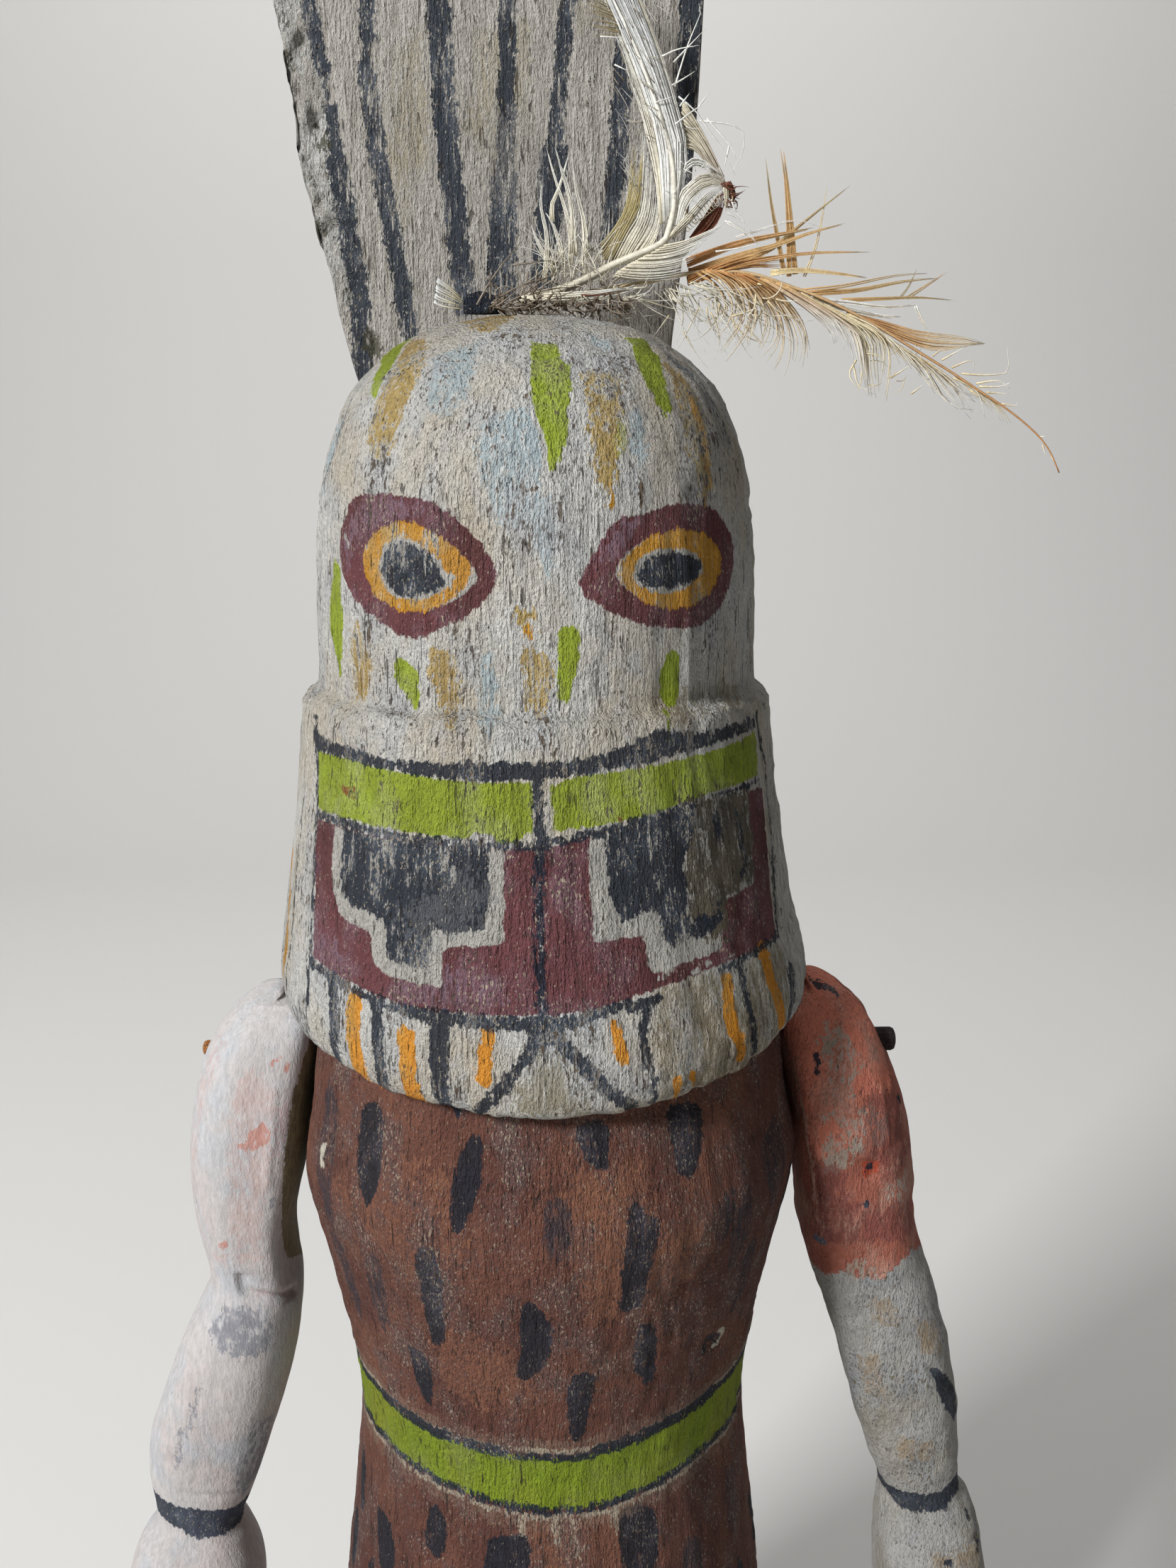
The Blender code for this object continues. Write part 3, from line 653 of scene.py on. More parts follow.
DOME_STROKES = {
    "slate": [
        ([(-71, 405.6), (-69, 398), (-71, 389)], 2.0), ([(57, 411.4), (61.4, 405), (62.4, 395.6)], 4.2)],
    "pale blue": [([(-73, 398), (-74, 388)], 4.0)],
    "lime": [([(30.6, 348), (30, 342.8)], 0.9)],
    "ochre": [([(18, 388), (18, 383.8)], 1.0), ([(50, 404), (50.4, 396), (48.6, 389), (46, 385)], 1.8)],
    "dirt": [
        ([(-12, 420.4), (0, 420.5), (20, 420)], 3.4), ([(26, 409), (27, 402)], 1.8),
        ([(-7.6, 395), (-7, 388)], 1.2)],
}

# Plain dabs round the back of the dome: angle, height and length.
DABS_BEHIND = [(-122, 396, 22), (-152, 372, 18), (178, 398, 24), (150, 366, 18), (116, 392, 22)]

# The panel across the mouth.
PANEL_PATCHES = {
    "maroon": [
        [(-59, 325.4), (-57, 312), (-55, 299), (-45, 297.3), (-25, 295), (0, 295.4), (0, 325)],
        [(0, 325), (10, 327), (32, 330), (64, 330), (62, 315), (60, 300.6), (31, 300), (13, 296.7),
         (0, 295)]],
    "white line": [
        [(-51, 325), (-50.4, 316.8), (-48.4, 312), (-47, 308.8), (-40.6, 308), (-36.6, 307.4), (-35.6, 302),
         (-32, 300.2), (-20, 299.6), (-19.5, 306.4), (-17, 307.2), (-7.3, 308), (-7, 325)],
        [(10.4, 327), (10.3, 308.2), (21, 308.5), (21.3, 301.6), (30, 302.3), (39.2, 302.8), (41, 309),
         (42, 311.5), (53, 313), (54.6, 320), (55.4, 331), (32, 331)]],
    "bare": [
        [(32.6, 331.4), (55, 331.4), (55, 320), (53, 314), (47, 312.6), (43, 311.6), (42.6, 306),
         (38, 304.4), (35, 307), (31.6, 309.6), (31.6, 319)]],
    "dark": [
        [(-47.6, 325), (-47, 317.2), (-45.6, 313), (-42.7, 311.2), (-34, 310.6), (-32.3, 308.3),
         (-32.6, 304.2), (-30.7, 303), (-22.4, 302.6), (-22.2, 309.4), (-16, 309.8), (-11.4, 310.4),
         (-10.2, 314.6), (-10, 325.6)],
        [(13.6, 328), (14.3, 316.2), (15, 314), (16.4, 311.6), (19, 311.8), (20.4, 312.6), (24.6, 312.2),
         (25.2, 306.9), (26.6, 305.6), (31, 306.6), (35, 306.6), (37, 308), (36, 310.2), (34.6, 310.6),
         (33.4, 308.8), (31.4, 310), (32.4, 315), (31.6, 319), (33.6, 323), (36, 327), (37, 331), (27, 330)],
        [(33, 306), (37, 306.4), (40.4, 308.4), (40.8, 311.6), (39.4, 312), (38.4, 309.8), (35, 309),
         (33, 310)],
        [(-65, 341), (-43, 340.4), (-33, 339.3), (-14, 340.1), (6, 340.2), (14, 341.4), (28, 345),
         (39, 343.4), (64, 344), (63, 341.8), (44, 340.9), (27, 339.5), (6, 337.5), (-13, 336.6),
         (-33, 337.6), (-64, 338.2)],
        [(-3.4, 295.6), (3.4, 295.6), (4, 291.6), (1.4, 289.4), (-1, 289.4), (-3, 291.6)]],
    "lime": [
        [(-62, 337.8), (-60, 327), (-42, 327), (-15, 326.4), (-13, 327.7), (-10, 327.5), (-9, 326),
         (-5, 325.8), (-1, 328), (-1.2, 336.8), (-13, 336.6), (-33, 337.5), (-49, 338.4)],
        [(2.2, 336.2), (8, 337.6), (31, 339.1), (52, 340.2), (63, 341.2), (62, 332.4), (40, 331.9),
         (21, 329.2), (3, 328)]],
    "purple bloom": [
        [(-57, 307), (-49, 304), (-40, 300), (-44, 296), (-56, 298)],
        [(-30, 299), (-16, 304), (-6, 300), (-10, 296), (-28, 296)],
        [(-57, 377), (-50, 384), (-36, 386), (-24, 384), (-34, 381.4), (-46, 380), (-53, 373)],
        [(12, 374), (20, 382), (26, 382), (20, 376)]],
    "stain": [
        [(-2.6, 289), (2.6, 289), (8, 281), (9, 276.4), (-7, 276.4), (-6, 281)],
        [(22, 298), (36, 299.6), (60, 299), (62, 286), (52, 277), (30, 276.6), (22, 277)],
        [(30, 345), (60, 346), (64, 350), (44, 352), (28, 350)]],
    "ash": [
        [(-29, 303), (-24, 302), (-20, 309), (-12, 311), (-10, 318), (-16, 322), (-24, 316), (-29, 312)]],
    "spot": [
        [(-49.6, 333), (-48, 331.6), (-45, 330.6), (-43.4, 331.4), (-45, 333)],
        [(-9, 336.6), (-7, 335.4), (-6, 336.4)], [(15, 329.9), (18, 328.8), (18.4, 330)]],
}
PANEL_STROKES = {
    "dark": [
        ([(-60, 326), (-46, 326.2), (-24, 325.6), (-1, 325.3), (13, 327.6), (31, 330.2)], 1.7),
        ([(44, 331.4), (62, 331.6)], 1.0), ([(-56, 297.8), (-42, 296), (-28, 294.4)], 1.8),
        ([(-28, 294.4), (-12, 294), (0, 293.8), (6, 294.2)], 2.7),
        ([(6, 294.2), (13, 296), (23, 296.6)], 1.9), ([(38, 299.4), (50, 300.4), (61, 300.7)], 1.5),
        ([(0, 338), (0.3, 326), (-0.2, 312), (-0.4, 295)], 1.9),
        ([(50, 321.6), (51, 318), (50.4, 315.8), (48.6, 315.2)], 1.3), ([(42, 328), (43, 323.4)], 2.0),
        ([(50, 327), (50.6, 322)], 1.6), ([(46, 326), (46.4, 322)], 0.8),
        ([(-64, 344), (-61, 330), (-58, 316), (-57, 304), (-56, 291), (-58, 280)], 1.3),
        ([(-69.5, 330), (-69, 312), (-68, 298), (-72, 280.6)], 1.1),
        ([(65, 344), (68, 334), (68, 326), (64.6, 314), (61, 300.4)], 1.5)],
    "white line": [
        ([(2.6, 337), (2.2, 328)], 0.9), ([(23, 300.2), (27, 300.9)], 0.8), ([(31, 300), (36, 301.2)], 0.8),
        ([(39, 300.6), (43, 301.6)], 0.9)],
    "maroon": [([(26, 299.6), (44, 301.6)], 1.2)],
    "ochre": [([(-85, 330), (-79, 312), (-72, 297), (-75, 291), (-80, 282)], 2.4)],
}

# The fringe under the panel.
FRINGE = {
    "dark": [
        ([(-47.4, 296.7), (-46.6, 288), (-47.6, 279)], 2.9), ([(-34, 294.8), (-34, 276.6)], 3.0),
        ([(-20.4, 293), (-20.6, 284)], 3.9), ([(-20.6, 284), (-20.2, 274.4)], 3.3),
        ([(-0.6, 291.6), (-5, 286), (-9.4, 281), (-13.6, 276.4)], 2.4),
        ([(1.6, 292), (6.4, 286.8), (10.8, 281.4), (16, 276.8)], 2.6),
        ([(20, 296.4), (18.8, 290), (19.2, 286)], 2.0), ([(19.2, 286), (20.4, 283), (20.6, 276.2)], 1.4),
        ([(44, 299), (44.4, 290), (46.2, 281)], 1.8), ([(64, 293), (62.4, 280)], 3.0)],
    "fringe ochre": [
        ([(-40.4, 294.2), (-41, 289), (-40.4, 283), (-39.8, 277)], 4.2),
        ([(-27.4, 289.6), (-27.4, 282), (-26.6, 276)], 3.9), ([(-11, 292), (-11.8, 283.6)], 2.8),
        ([(13.4, 292.6), (14.4, 286.4)], 2.2), ([(25.4, 281), (25.6, 277)], 1.8),
        ([(28.6, 281.4), (29.6, 279.2)], 1.4), ([(39.4, 297), (39, 290), (41.4, 282)], 2.9),
        ([(52, 300), (54, 292), (57, 284)], 3.6)],
}

# The body: where the red earth is worn back to a lighter tan, partly a painted highlight on the lit upper
# left and front, and the dark dabs over it.
BODY_PATCHES = {
    "rubbed and highlit": [
        [(-46, 262), (-24, 262), (-18, 248), (-28, 236), (-46, 242)],
        [(2, 262), (20, 262), (18, 238), (4, 240)], [(-28, 228), (-10, 224), (-6, 210), (-28, 211)],
        [(6, 246), (32, 250), (34, 238), (10, 230)], [(-56, 252), (-48, 252), (-48, 236), (-56, 238)],
        [(-12, 180), (4, 182), (2, 162), (-12, 160)]],
    "dab": [
        [(-46, 269.5), (-40, 270.4), (-39.4, 260), (-40, 255), (-43, 250.7), (-47, 258.4)],
        [(-18, 268.6), (-14.6, 268.6), (-15, 261.5), (-16.6, 256), (-20, 250), (-21, 251), (-21, 261)],
        [(6, 272), (12, 272), (12.4, 266), (11, 263), (8.6, 263.6), (6.6, 267)],
        [(27, 272.6), (35, 271.6), (35, 265), (33, 261.4), (32, 259), (28, 259.5), (27, 265.4)],
        [(-29, 246), (-25, 245.7), (-24, 240.5), (-25, 231.5), (-26, 224.2), (-29.6, 223), (-30, 237.8)],
        [(-7, 235.4), (-4, 236), (-0.6, 231.4), (-1, 225), (-4, 219), (-9, 217.5), (-8, 225)],
        [(-38, 218.3), (-34, 219.2), (-31, 215.6), (-33, 206), (-35, 206), (-37, 211)],
        [(3, 216), (7, 219.5), (9.4, 216.5), (8, 206), (6, 201.6), (4, 203.3)],
        [(15, 253.3), (17, 256.7), (19, 254), (22, 252.2), (20.6, 245), (19, 234.5), (17, 233), (14, 233.6),
         (14, 245)],
        [(19, 226), (20, 228.8), (23.6, 227), (25, 220), (25, 214.2), (23, 212.8), (19, 218.6)],
        [(-38, 174.3), (-35, 181), (-31, 179), (-31, 172.8), (-33, 169.6), (-37, 171)],
        [(-60, 169), (-54, 170.4), (-50, 167), (-49, 161), (-52, 156.6), (-57, 158)],
        [(-18, 177.4), (-11, 179.4), (-7, 179), (-8, 170), (-18, 168)],
        [(18, 182.4), (28, 180.5), (28, 168), (19, 167)]],
    "faint dab": [
        [(-1, 257.8), (2, 258), (4, 255.4), (3.6, 249.4), (1, 246.4), (-1.6, 249)],
        [(-45, 239), (-41, 239), (-41.6, 230), (-45, 219.6), (-48, 222), (-48, 233.5)],
        [(42, 248), (47, 252), (48, 242), (45, 234), (42, 238)],
        [(-62, 236), (-57, 236), (-56, 222), (-60, 218)],
        [(53, 256), (60, 260.4), (66, 258.4), (63, 246), (57, 244)],
        [(37, 251), (41, 254), (42, 252), (41, 246), (38, 242.6), (36, 246)],
        [(-62, 268), (-57, 268), (-56, 250), (-58, 238), (-62, 246)],
        [(48, 236), (53, 238), (54, 226), (50, 220), (47, 227)],
        [(37, 170), (44, 168), (44, 158), (38, 160)], [(57, 176), (62, 178), (63, 166), (58, 163)]],
}
BELT_TOP = [(-180, 203.4), (-120, 203), (-65, 200.4), (-50, 200.2), (-40, 199.2), (-22, 198.1), (-3, 197.6),
            (10, 197.8), (35, 200.6), (54, 201.6), (120, 203), (180, 203.4)]
BELT_FOOT = [(-180, 190.6), (-120, 190), (-70, 188.2), (-38, 187.6), (-15, 185.8), (-3, 185), (9, 184.8),
             (21, 185.6), (42, 187.9), (70, 188.6), (120, 190), (180, 190.6)]


def paint_dome(work):
    for eye in (RIGHT_EYE, LEFT_EYE):
        for colour, places in eye.items():
            work.patch(colour, places, smooth=True)
        work.patch("ochre", eye["dark"], over=False, smooth=True, grow=0.6)
    work.patch("ochre", [(-24, 373.6), (-18.6, 372.4), (-20, 370.4), (-26, 369.2)], over=False)
    work.stroke("white line", [(-55.6, 379.4), (-51.6, 376.8)], 0.9)
    work.patches(DOME_PATCHES)
    work.strokes(DOME_STROKES)
    for angle, height, tall in DABS_BEHIND:
        work.dab("lime" if angle > 0 else "sheer ochre", angle, height, 6, tall)


def paint_panel(work):
    work.patches(PANEL_PATCHES)
    work.strokes(PANEL_STROKES)
    work.strokes(FRINGE)
    for i, angle in enumerate(range(-168, -90, 13)):
        for side in (-1, 1):
            colour = "fringe ochre" if i % 2 else "dark"
            lift = 0.8 * RIM_LIFT * math.sin(math.radians(angle)) ** 2
            work.stroke(colour, [(side * angle, 295 + lift), (side * angle + 0.6, 281 + lift)], 2.3)


def paint_body(work):
    work.patches(BODY_PATCHES, smooth=True)
    for row, level in enumerate((262, 238, 214, 172, 150, 126, 100, 75)):
        for step in range(18):
            angle = -180 + 20 * step + (10 if row % 2 else 0) + 3 * math.sin(step * 1.7 + level)
            if abs(angle) > 68 or level < 156:
                work.dab("dab", angle, level + 3 * math.sin(angle * 2.1), 4.6, 16, -0.8)
    work.patch("belt", BELT_TOP + BELT_FOOT[::-1])
    work.stroke("cream", [(a, h + 1.3) for a, h in BELT_TOP], 1.8)
    work.stroke("cream haze", [(a, h + 2.4) for a, h in BELT_TOP], 4.4)
    work.stroke("cream", [(a, h - 1.2) for a, h in BELT_FOOT], 1.7)
    work.stroke("cream haze", [(a, h - 2.4) for a, h in BELT_FOOT], 4.4)
    for angle, tall in ((0, 6), (5, 8), (-9, 4), (16, 5)):
        work.stroke("cream", [(angle, 183), (angle + 0.8, 183 - tall)], 2.0, 0.8)
    work.stroke("dark", BELT_TOP, 2.0)
    work.stroke("dark", [(-52, 201), (-40, 199.8), (-26, 198.8), (-14, 198.4)], 3.0)
    work.stroke("dark", [(12, 198.6), (30, 200.6), (48, 202)], 3.2)
    work.stroke("dark", BELT_FOOT, 1.9)
    work.stroke("dark", [(40, 215), (43, 218), (46.4, 215.4)], 1.6)
    work.stroke("chip", [(43.4, 213.4), (47.4, 214.6), (47.2, 218), (44.6, 218.6)], 0.9)
    work.stroke("chip", [(-60.6, 257), (-59.6, 253.6)], 1.7)


def paint_figure(work):
    """Everything painted on the mask and the body, from the crown down."""
    lift = RIM_LIFT * np.sin(np.radians(work.angle)) ** 2
    work.fields["whitewash"] = work.height - (RIM_LOW + 0.6 + lift)
    work.fields["red earth"] = -work.fields["whitewash"]
    paint_dome(work)
    paint_panel(work)
    paint_body(work)
    for places, width, depth in FIGURE_CRACKS:
        if depth >= 0.6:
            work.stroke("dirt", places, width * 0.8)
    # The mask's side towards the doll's left is darkened: partly real dirt, partly painted shade on the side
    # away from the light.
    stained_and_shaded_side = ease(work.angle, 4, 56) * ease(work.height, 350, 318) * ease(work.height, 274, 280)
    work.fields["weathering and shade"] = 3.6 * stained_and_shaded_side - 1.3


# Colours from here to the feathers are red, green and blue as a screen shows them, 0 to 255.
WOOD = ((134, 118, 98), (74, 62, 54))
CHALK_WHITE, COOL_WHITE, WARM_WHITE = (211, 209, 203), (193, 195, 197), (199, 189, 172)
NAVY, NAVY_BLOOM = (34, 42, 55), (82, 92, 106)
FIGURE_FILMS = [
    film("red earth", (104, 66, 57), (130, 86, 70), (112, 88, 86), ragged=0.3, worn=0.26, specks=0.75,
         flecks=0.7),
    # Worn tan paint, partly painted highlight where the body faces the light.
    film("rubbed and highlit", (150, 102, 80), (164, 116, 88), (138, 104, 96), ragged=5.0, worn=0.5, cover=0.62,
         specks=0.7, flecks=0.6),
    film("whitewash", CHALK_WHITE, WARM_WHITE, COOL_WHITE, ragged=0.4, worn=0.33, flecks=0.0),
    # Dirt and painted shade over the mask's side away from the light.
    film("weathering and shade", (140, 128, 106), bloom=(112, 104, 92), ragged=1.6, worn=0.62, cover=0.6, specks=0.8,
         flecks=0.0),
    film("stain", (146, 134, 104), (126, 112, 86), (156, 150, 130), ragged=2.4, worn=0.5, cover=0.7,
         specks=0.8),
    film("pale blue", (160, 184, 194), (172, 188, 194), (188, 196, 198), ragged=1.8, worn=0.46, cover=0.66,
         flecks=0.0),
    film("slate", (92, 104, 116), bloom=(128, 138, 146), ragged=1.3, worn=0.5, cover=0.8, specks=0.6,
         flecks=0.1),
    film("sheer ochre", (182, 150, 66), (152, 124, 64), (194, 178, 132), ragged=2.2, worn=0.45, cover=0.84,
         specks=0.9, flecks=0.0),
    film("sheer lime", (176, 180, 90), ragged=1.4, worn=0.5, cover=0.6, specks=0.8),
    film("lime", (154, 172, 40), (136, 150, 36), (176, 186, 104), ragged=0.7, cover=0.96, specks=0.42,
         flecks=0.1),
    film("maroon", (108, 52, 58), (88, 42, 47), (128, 94, 106), ragged=0.65, worn=0.28, specks=0.2,
         flecks=0.85),
    film("purple bloom", (148, 124, 138), ragged=2.6, worn=0.5, cover=0.65, specks=0.2, flecks=0.5),
    film("white line", (186, 183, 175), worn=0.24, flecks=0.0),
    film("bare", (104, 95, 78), (84, 76, 64), (70, 67, 62), ragged=3.4, worn=0.36, specks=0.7),
    film("ochre", (206, 148, 44), (192, 136, 48), (204, 180, 128), ragged=0.8, worn=0.38, specks=0.3,
         flecks=0.35),
    film("fringe ochre", (224, 148, 30), (214, 138, 34), (206, 160, 76), ragged=0.9, specks=0.12,
         flecks=0.25),
    film("faint dab", (60, 60, 68), ragged=1.4, worn=0.47, cover=0.78, specks=0.3, flecks=0.4),
    film("dab", (38, 42, 51), (42, 43, 50), (78, 78, 88), ragged=0.8, worn=0.32, cover=0.94, specks=0.2,
         flecks=0.45),
    film("cream haze", (150, 128, 112), ragged=2.2, worn=0.5, cover=0.55, specks=0.4, flecks=0.3),
    film("cream", (184, 172, 152), ragged=0.9, worn=0.44, cover=0.85, specks=0.4),
    film("belt", (132, 154, 38), (142, 152, 46), (140, 152, 66), ragged=0.4, worn=0.16, specks=0.25,
         flecks=0.05),
    film("dark", NAVY, (38, 44, 55), NAVY_BLOOM, ragged=1.05, worn=0.38, specks=0.0, flecks=0.85),
    film("ash", (126, 127, 130), ragged=6.0, worn=0.5, cover=0.46, specks=0.2, flecks=0.3),
    film("spot", (134, 78, 50), ragged=0.8, worn=0.4, specks=0.3),
    film("dirt", (88, 78, 66), ragged=2.0, worn=0.6, cover=0.8, specks=1.0),
    film("chip", (212, 206, 188), ragged=0.4, worn=0.1, specks=0.1),
]


def build_figure():
    points, angle, half = figure_points()
    points = carve_figure(points, angle)
    work = Brushwork(angle, points[..., 2], half, dome_run)
    paint_figure(work)
    mesh = grid_mesh("figure_carved", points)
    work.keep(mesh, FIGURE_FILMS)
    height = points[..., 2]
    rough_places = np.maximum(ease(height, 384, 398), 0.9 * np.exp(-((height - LEDGE_AT) / 5.5) ** 2))
    on_mask = 0.25 + 0.3 * ease(height, 272, 284) * ease(height, 360, 340)
    keep_field(mesh, "crust", np.maximum(rough_places, on_mask))
    material = painted_wood("worn paint on cottonwood", WOOD, FIGURE_FILMS)
    piece("figure_carved", mesh, material, "painted_wood", "figure")


def build_boots():
    material = painted_wood("boot paint", WOOD, FIGURE_FILMS[:1])
    for side, name in ((-1, "boot_right"), (1, "boot_left")):
        rows = resample(catmull([(r[1], r[0], r[2], r[3]) for r in BOOT], 6), lambda height: 1.4)
        turn = np.linspace(0, 2 * math.pi, 64, endpoint=False)
        x = LEAN + side * BOOT_SPREAD + rows[:, 2:3] * np.cos(turn)
        y = rows[:, 0:1] + rows[:, 3:4] * np.sin(turn)
        points = np.stack([x, y, rows[:, 1:2] * np.ones_like(turn)], axis=-1)
        normal = normals_of(points)
        points += normal * (0.25 * ripple(points, (9, 9, 20), 41))[..., None]
        mesh = grid_mesh(name, points, cap_ends=True)
        keep_field(mesh, "red earth", -UNPAINTED)
        piece(name, mesh, material, "painted_wood")


# -------- the arms
def arm_points(stations, side):
    """Rows of points around an arm, with each one's distance round it from its front, + outward."""
    curve = catmull([(s[1], s[0]) + tuple(s[2:]) for s in stations], 6)
    rows = resample(curve, lambda height: 0.8)
    inner, height, outer, front, back = (rows[:, k:k + 1] for k in range(5))
    turn = np.linspace(-math.pi, math.pi, 140, endpoint=False)
    outward, rearward = np.sin(turn), -np.cos(turn)
    upper = ease(height, ELBOW_FOOT, ELBOW_TOP)
    inner_round = UPPER_INNER_ROUND * upper + FOREARM_INNER_ROUND * (1 - upper)
    power = np.where(outward > 0, OUTER_ROUND, inner_round)
    out = np.sign(outward) * np.abs(outward) ** power
    along = np.sign(rearward) * np.abs(rearward) ** OUTER_ROUND
    x = side * ((inner + outer) / 2 + (outer - inner) / 2 * out)
    y = (front + back) / 2 + (back - front) / 2 * along
    points = np.stack([x, y, height * np.ones_like(x)], axis=-1)
    steps = np.linalg.norm(np.diff(points, axis=1), axis=-1)
    run = np.concatenate([np.zeros_like(height), np.cumsum(steps, axis=1)], axis=1)
    girth = run - run[:, [len(turn) // 2]]
    if side < 0:
        points, girth = points[:, ::-1], girth[:, ::-1]
    return points, girth


def carve_arm(points, girth, seed, cuts, rough):
    normal = normals_of(points)
    relief = 0.24 * ripple(points, (8, 8, 26), seed) + rough * ripple(points, (2.4, 2.4, 3.6), seed + 1)
    relief += rough * 1.4 * ripple(points, (5, 5, 6), seed + 2)
    relief = cut(relief, Brushwork(girth, points[..., 2], UNROLLED), cuts)
    return points + normal * relief[..., None]


# Places on the arms are (distance round from the front, height), both in millimetres, + outward.
RIGHT_CUTS = [
    ([(0.4, 220), (0, 216.4), (-4.6, 215.2), (-13.9, 212.5)], 1.5, 1.2),
    ([(-5.6, 264), (-6.7, 254), (-6.6, 243)], 1.4, -0.3), ([(5.2, 193), (4.5, 188.5)], 0.7, 0.3),
    ([(6.1, 181.7), (5.3, 175.7)], 0.7, 0.35), ([(1.1, 174), (1.1, 166)], 0.7, 0.3),
    ([(-9, 163), (-3, 164), (4, 165)], 1.2, 0.35),
]
LEFT_CUTS = [
    ([(0, 245.6), (3.2, 244.4), (1.4, 243)], 1.6, 0.9), ([(1.4, 143.8), (2.6, 144.2)], 2.0, 1.0),
    ([(-3.7, 146.7), (2.6, 146.7), (11, 147.6)], 1.0, 0.5), ([(-12, 255), (-12, 236)], 1.3, -0.3),
    ([(5.7, 193.7), (11, 188), (13, 180)], 1.4, 0.4), ([(3.6, 248), (0, 241), (4, 238)], 1.0, 0.35),
    ([(7, 262), (6, 250)], 1.6, -0.35),
]
RIGHT_ARM_PATCHES = {
    "coral": [
        [(-4.5, 257.4), (-6.4, 255), (-6, 252.6), (-2, 249.4), (0.4, 252), (-2.6, 255.4)],
        [(-7.6, 269.4), (-6.6, 269.6), (-6.6, 267.8), (-7.6, 267.6)]],
    "sheer coral": [
        [(2.2, 269), (-2, 268), (-6, 263), (-7.4, 254), (-6.6, 240), (-5, 228), (0, 224), (2, 250)]],
    "mauve": [[(-7.9, 262.4), (-9.8, 259.6), (-9.8, 252), (-7.5, 250), (-7.4, 258.7)]],
    "smudge": [
        [(7.7, 206.6), (4.6, 213.4), (-2.9, 212.5), (-7.7, 208.3), (-8.4, 203.2), (-5.3, 200.6),
         (1.9, 202.3)],
        [(-9, 238.9), (-7.6, 239), (-7.8, 237.4)],
        # This last smudge is painted shade: grey streaks down the inner side of the forearm, facing the body.
        [(-9, 184), (-15.6, 182), (-17.7, 166), (-10, 160.6), (-8, 169.5)]],
    "dark": [
        [(60, 164.4), (30, 163.6), (11, 162.4), (1.8, 160.6), (-9.4, 158.9), (-24, 160.6), (-60, 164),
         (-60, 158), (-24, 152), (-13.8, 151.4), (-1, 152), (3.9, 154.7), (10.2, 156.3), (30, 158),
         (60, 158.4)]],
}
RIGHT_ARM_STROKES = {
    "smudge": [([(5.6, 193), (4.8, 187), (6, 180), (5.4, 172)], 1.4)],
    "mauve": [([(0, 217), (-4.6, 215.6), (-13.9, 213)], 0.9)],
    "coral": [
        ([(-2, 266), (-2.4, 264.6)], 1.6), ([(2.4, 228.4), (3, 227.6)], 1.6),
        ([(-4.6, 271), (-4, 270)], 1.2)],
    "sheer coral": [([(10, 272), (12, 262), (12, 248)], 4.0), ([(-4, 226), (4, 224)], 3.0)],
}
LEFT_ARM_PATCHES = {
    # A brighter coral over the shoulder's top: painted light where the shoulder is lit.
    "lit coral": [
        [(-14, 285), (0, 286), (12, 284), (14, 268), (8, 250), (0, 252), (-10, 246), (-15, 262)]],
    "mauve": [
        [(2, 262), (12, 260), (14, 246), (6, 240), (0, 246)],
        [(-12, 246), (-4, 244), (-4, 234), (-12, 234)],
        [(-12.9, 234.3), (-4.6, 237.2), (12, 234.3), (15.6, 226), (4.3, 226), (-12.8, 226)]],
    "grime": [
        [(-8, 252), (-2, 252), (-3, 244), (-9, 243)], [(4, 240), (11, 242), (12, 236), (6, 233)],
        [(-6, 221), (0, 222), (1, 217), (-6, 217)],
        [(2.5, 277), (-3.5, 273.5), (-4, 267.8), (-4.3, 258.3), (-7.9, 255.6), (0, 257.4), (1, 263.6),
         (4.3, 269.5)],
        [(-4.4, 256.5), (2.6, 259.2), (7.6, 255.6), (5.7, 250.2), (0, 248.3), (-4.5, 249.3)]],
    "tan": [
        [(6, 206), (12, 204), (10, 196), (5, 198)], [(-10, 196), (-5, 198), (-6, 186), (-11, 186)],
        [(-4, 176), (4, 174), (2, 168), (-5, 170)], [(-3.6, 212), (2.8, 212), (1, 204.3), (-3.5, 206)],
        [(-2, 146), (11, 147), (10, 138), (-1, 139)]],
    "bright coral": [[(-0.6, 243.4), (0, 245.9), (3.6, 245.9), (3.4, 243.4), (0, 242.2)]],
    "dark": [
        [(5.7, 193.7), (8.4, 192.9), (12, 188.4), (14.8, 182.2), (14.2, 177.7), (11.2, 176.8), (8, 182.2),
         (6.9, 187.5)],
        [(-60, 163), (-24, 160.6), (-9.5, 159.4), (3.6, 159), (8.7, 160.9), (24, 161.6), (60, 163),
         (60, 158), (24, 157), (7.4, 156.4), (3.8, 154.9), (-4.2, 154.3), (-7.9, 155), (-10.5, 157),
         (-24, 157), (-60, 158)]],
}
LEFT_ARM_STROKES = {
    "dark": [
        ([(-0.9, 282.8), (1.1, 282.5), (3.2, 281.2)], 1.2), ([(-4.9, 270.3), (-6, 266.2)], 0.9),
        ([(13, 257.8), (13.4, 257)], 1.4), ([(0, 236.6), (0, 235.8)], 1.3), ([(0.4, 244), (2, 244.6)], 1.2),
        ([(9.3, 152.9), (9.3, 151.7)], 0.9), ([(10.6, 146.5), (10.6, 145)], 1.3),
        ([(1.6, 144), (2.2, 144)], 1.3)],
    "smudge": [([(-11.8, 226), (-9.8, 226)], 1.6)],
    "pale edge": [([(-13, 264.5), (-12, 255.6), (-12.3, 250), (-11.9, 235.3)], 1.3)],
}
ARM_WOOD = ((150, 138, 106), (104, 94, 72))
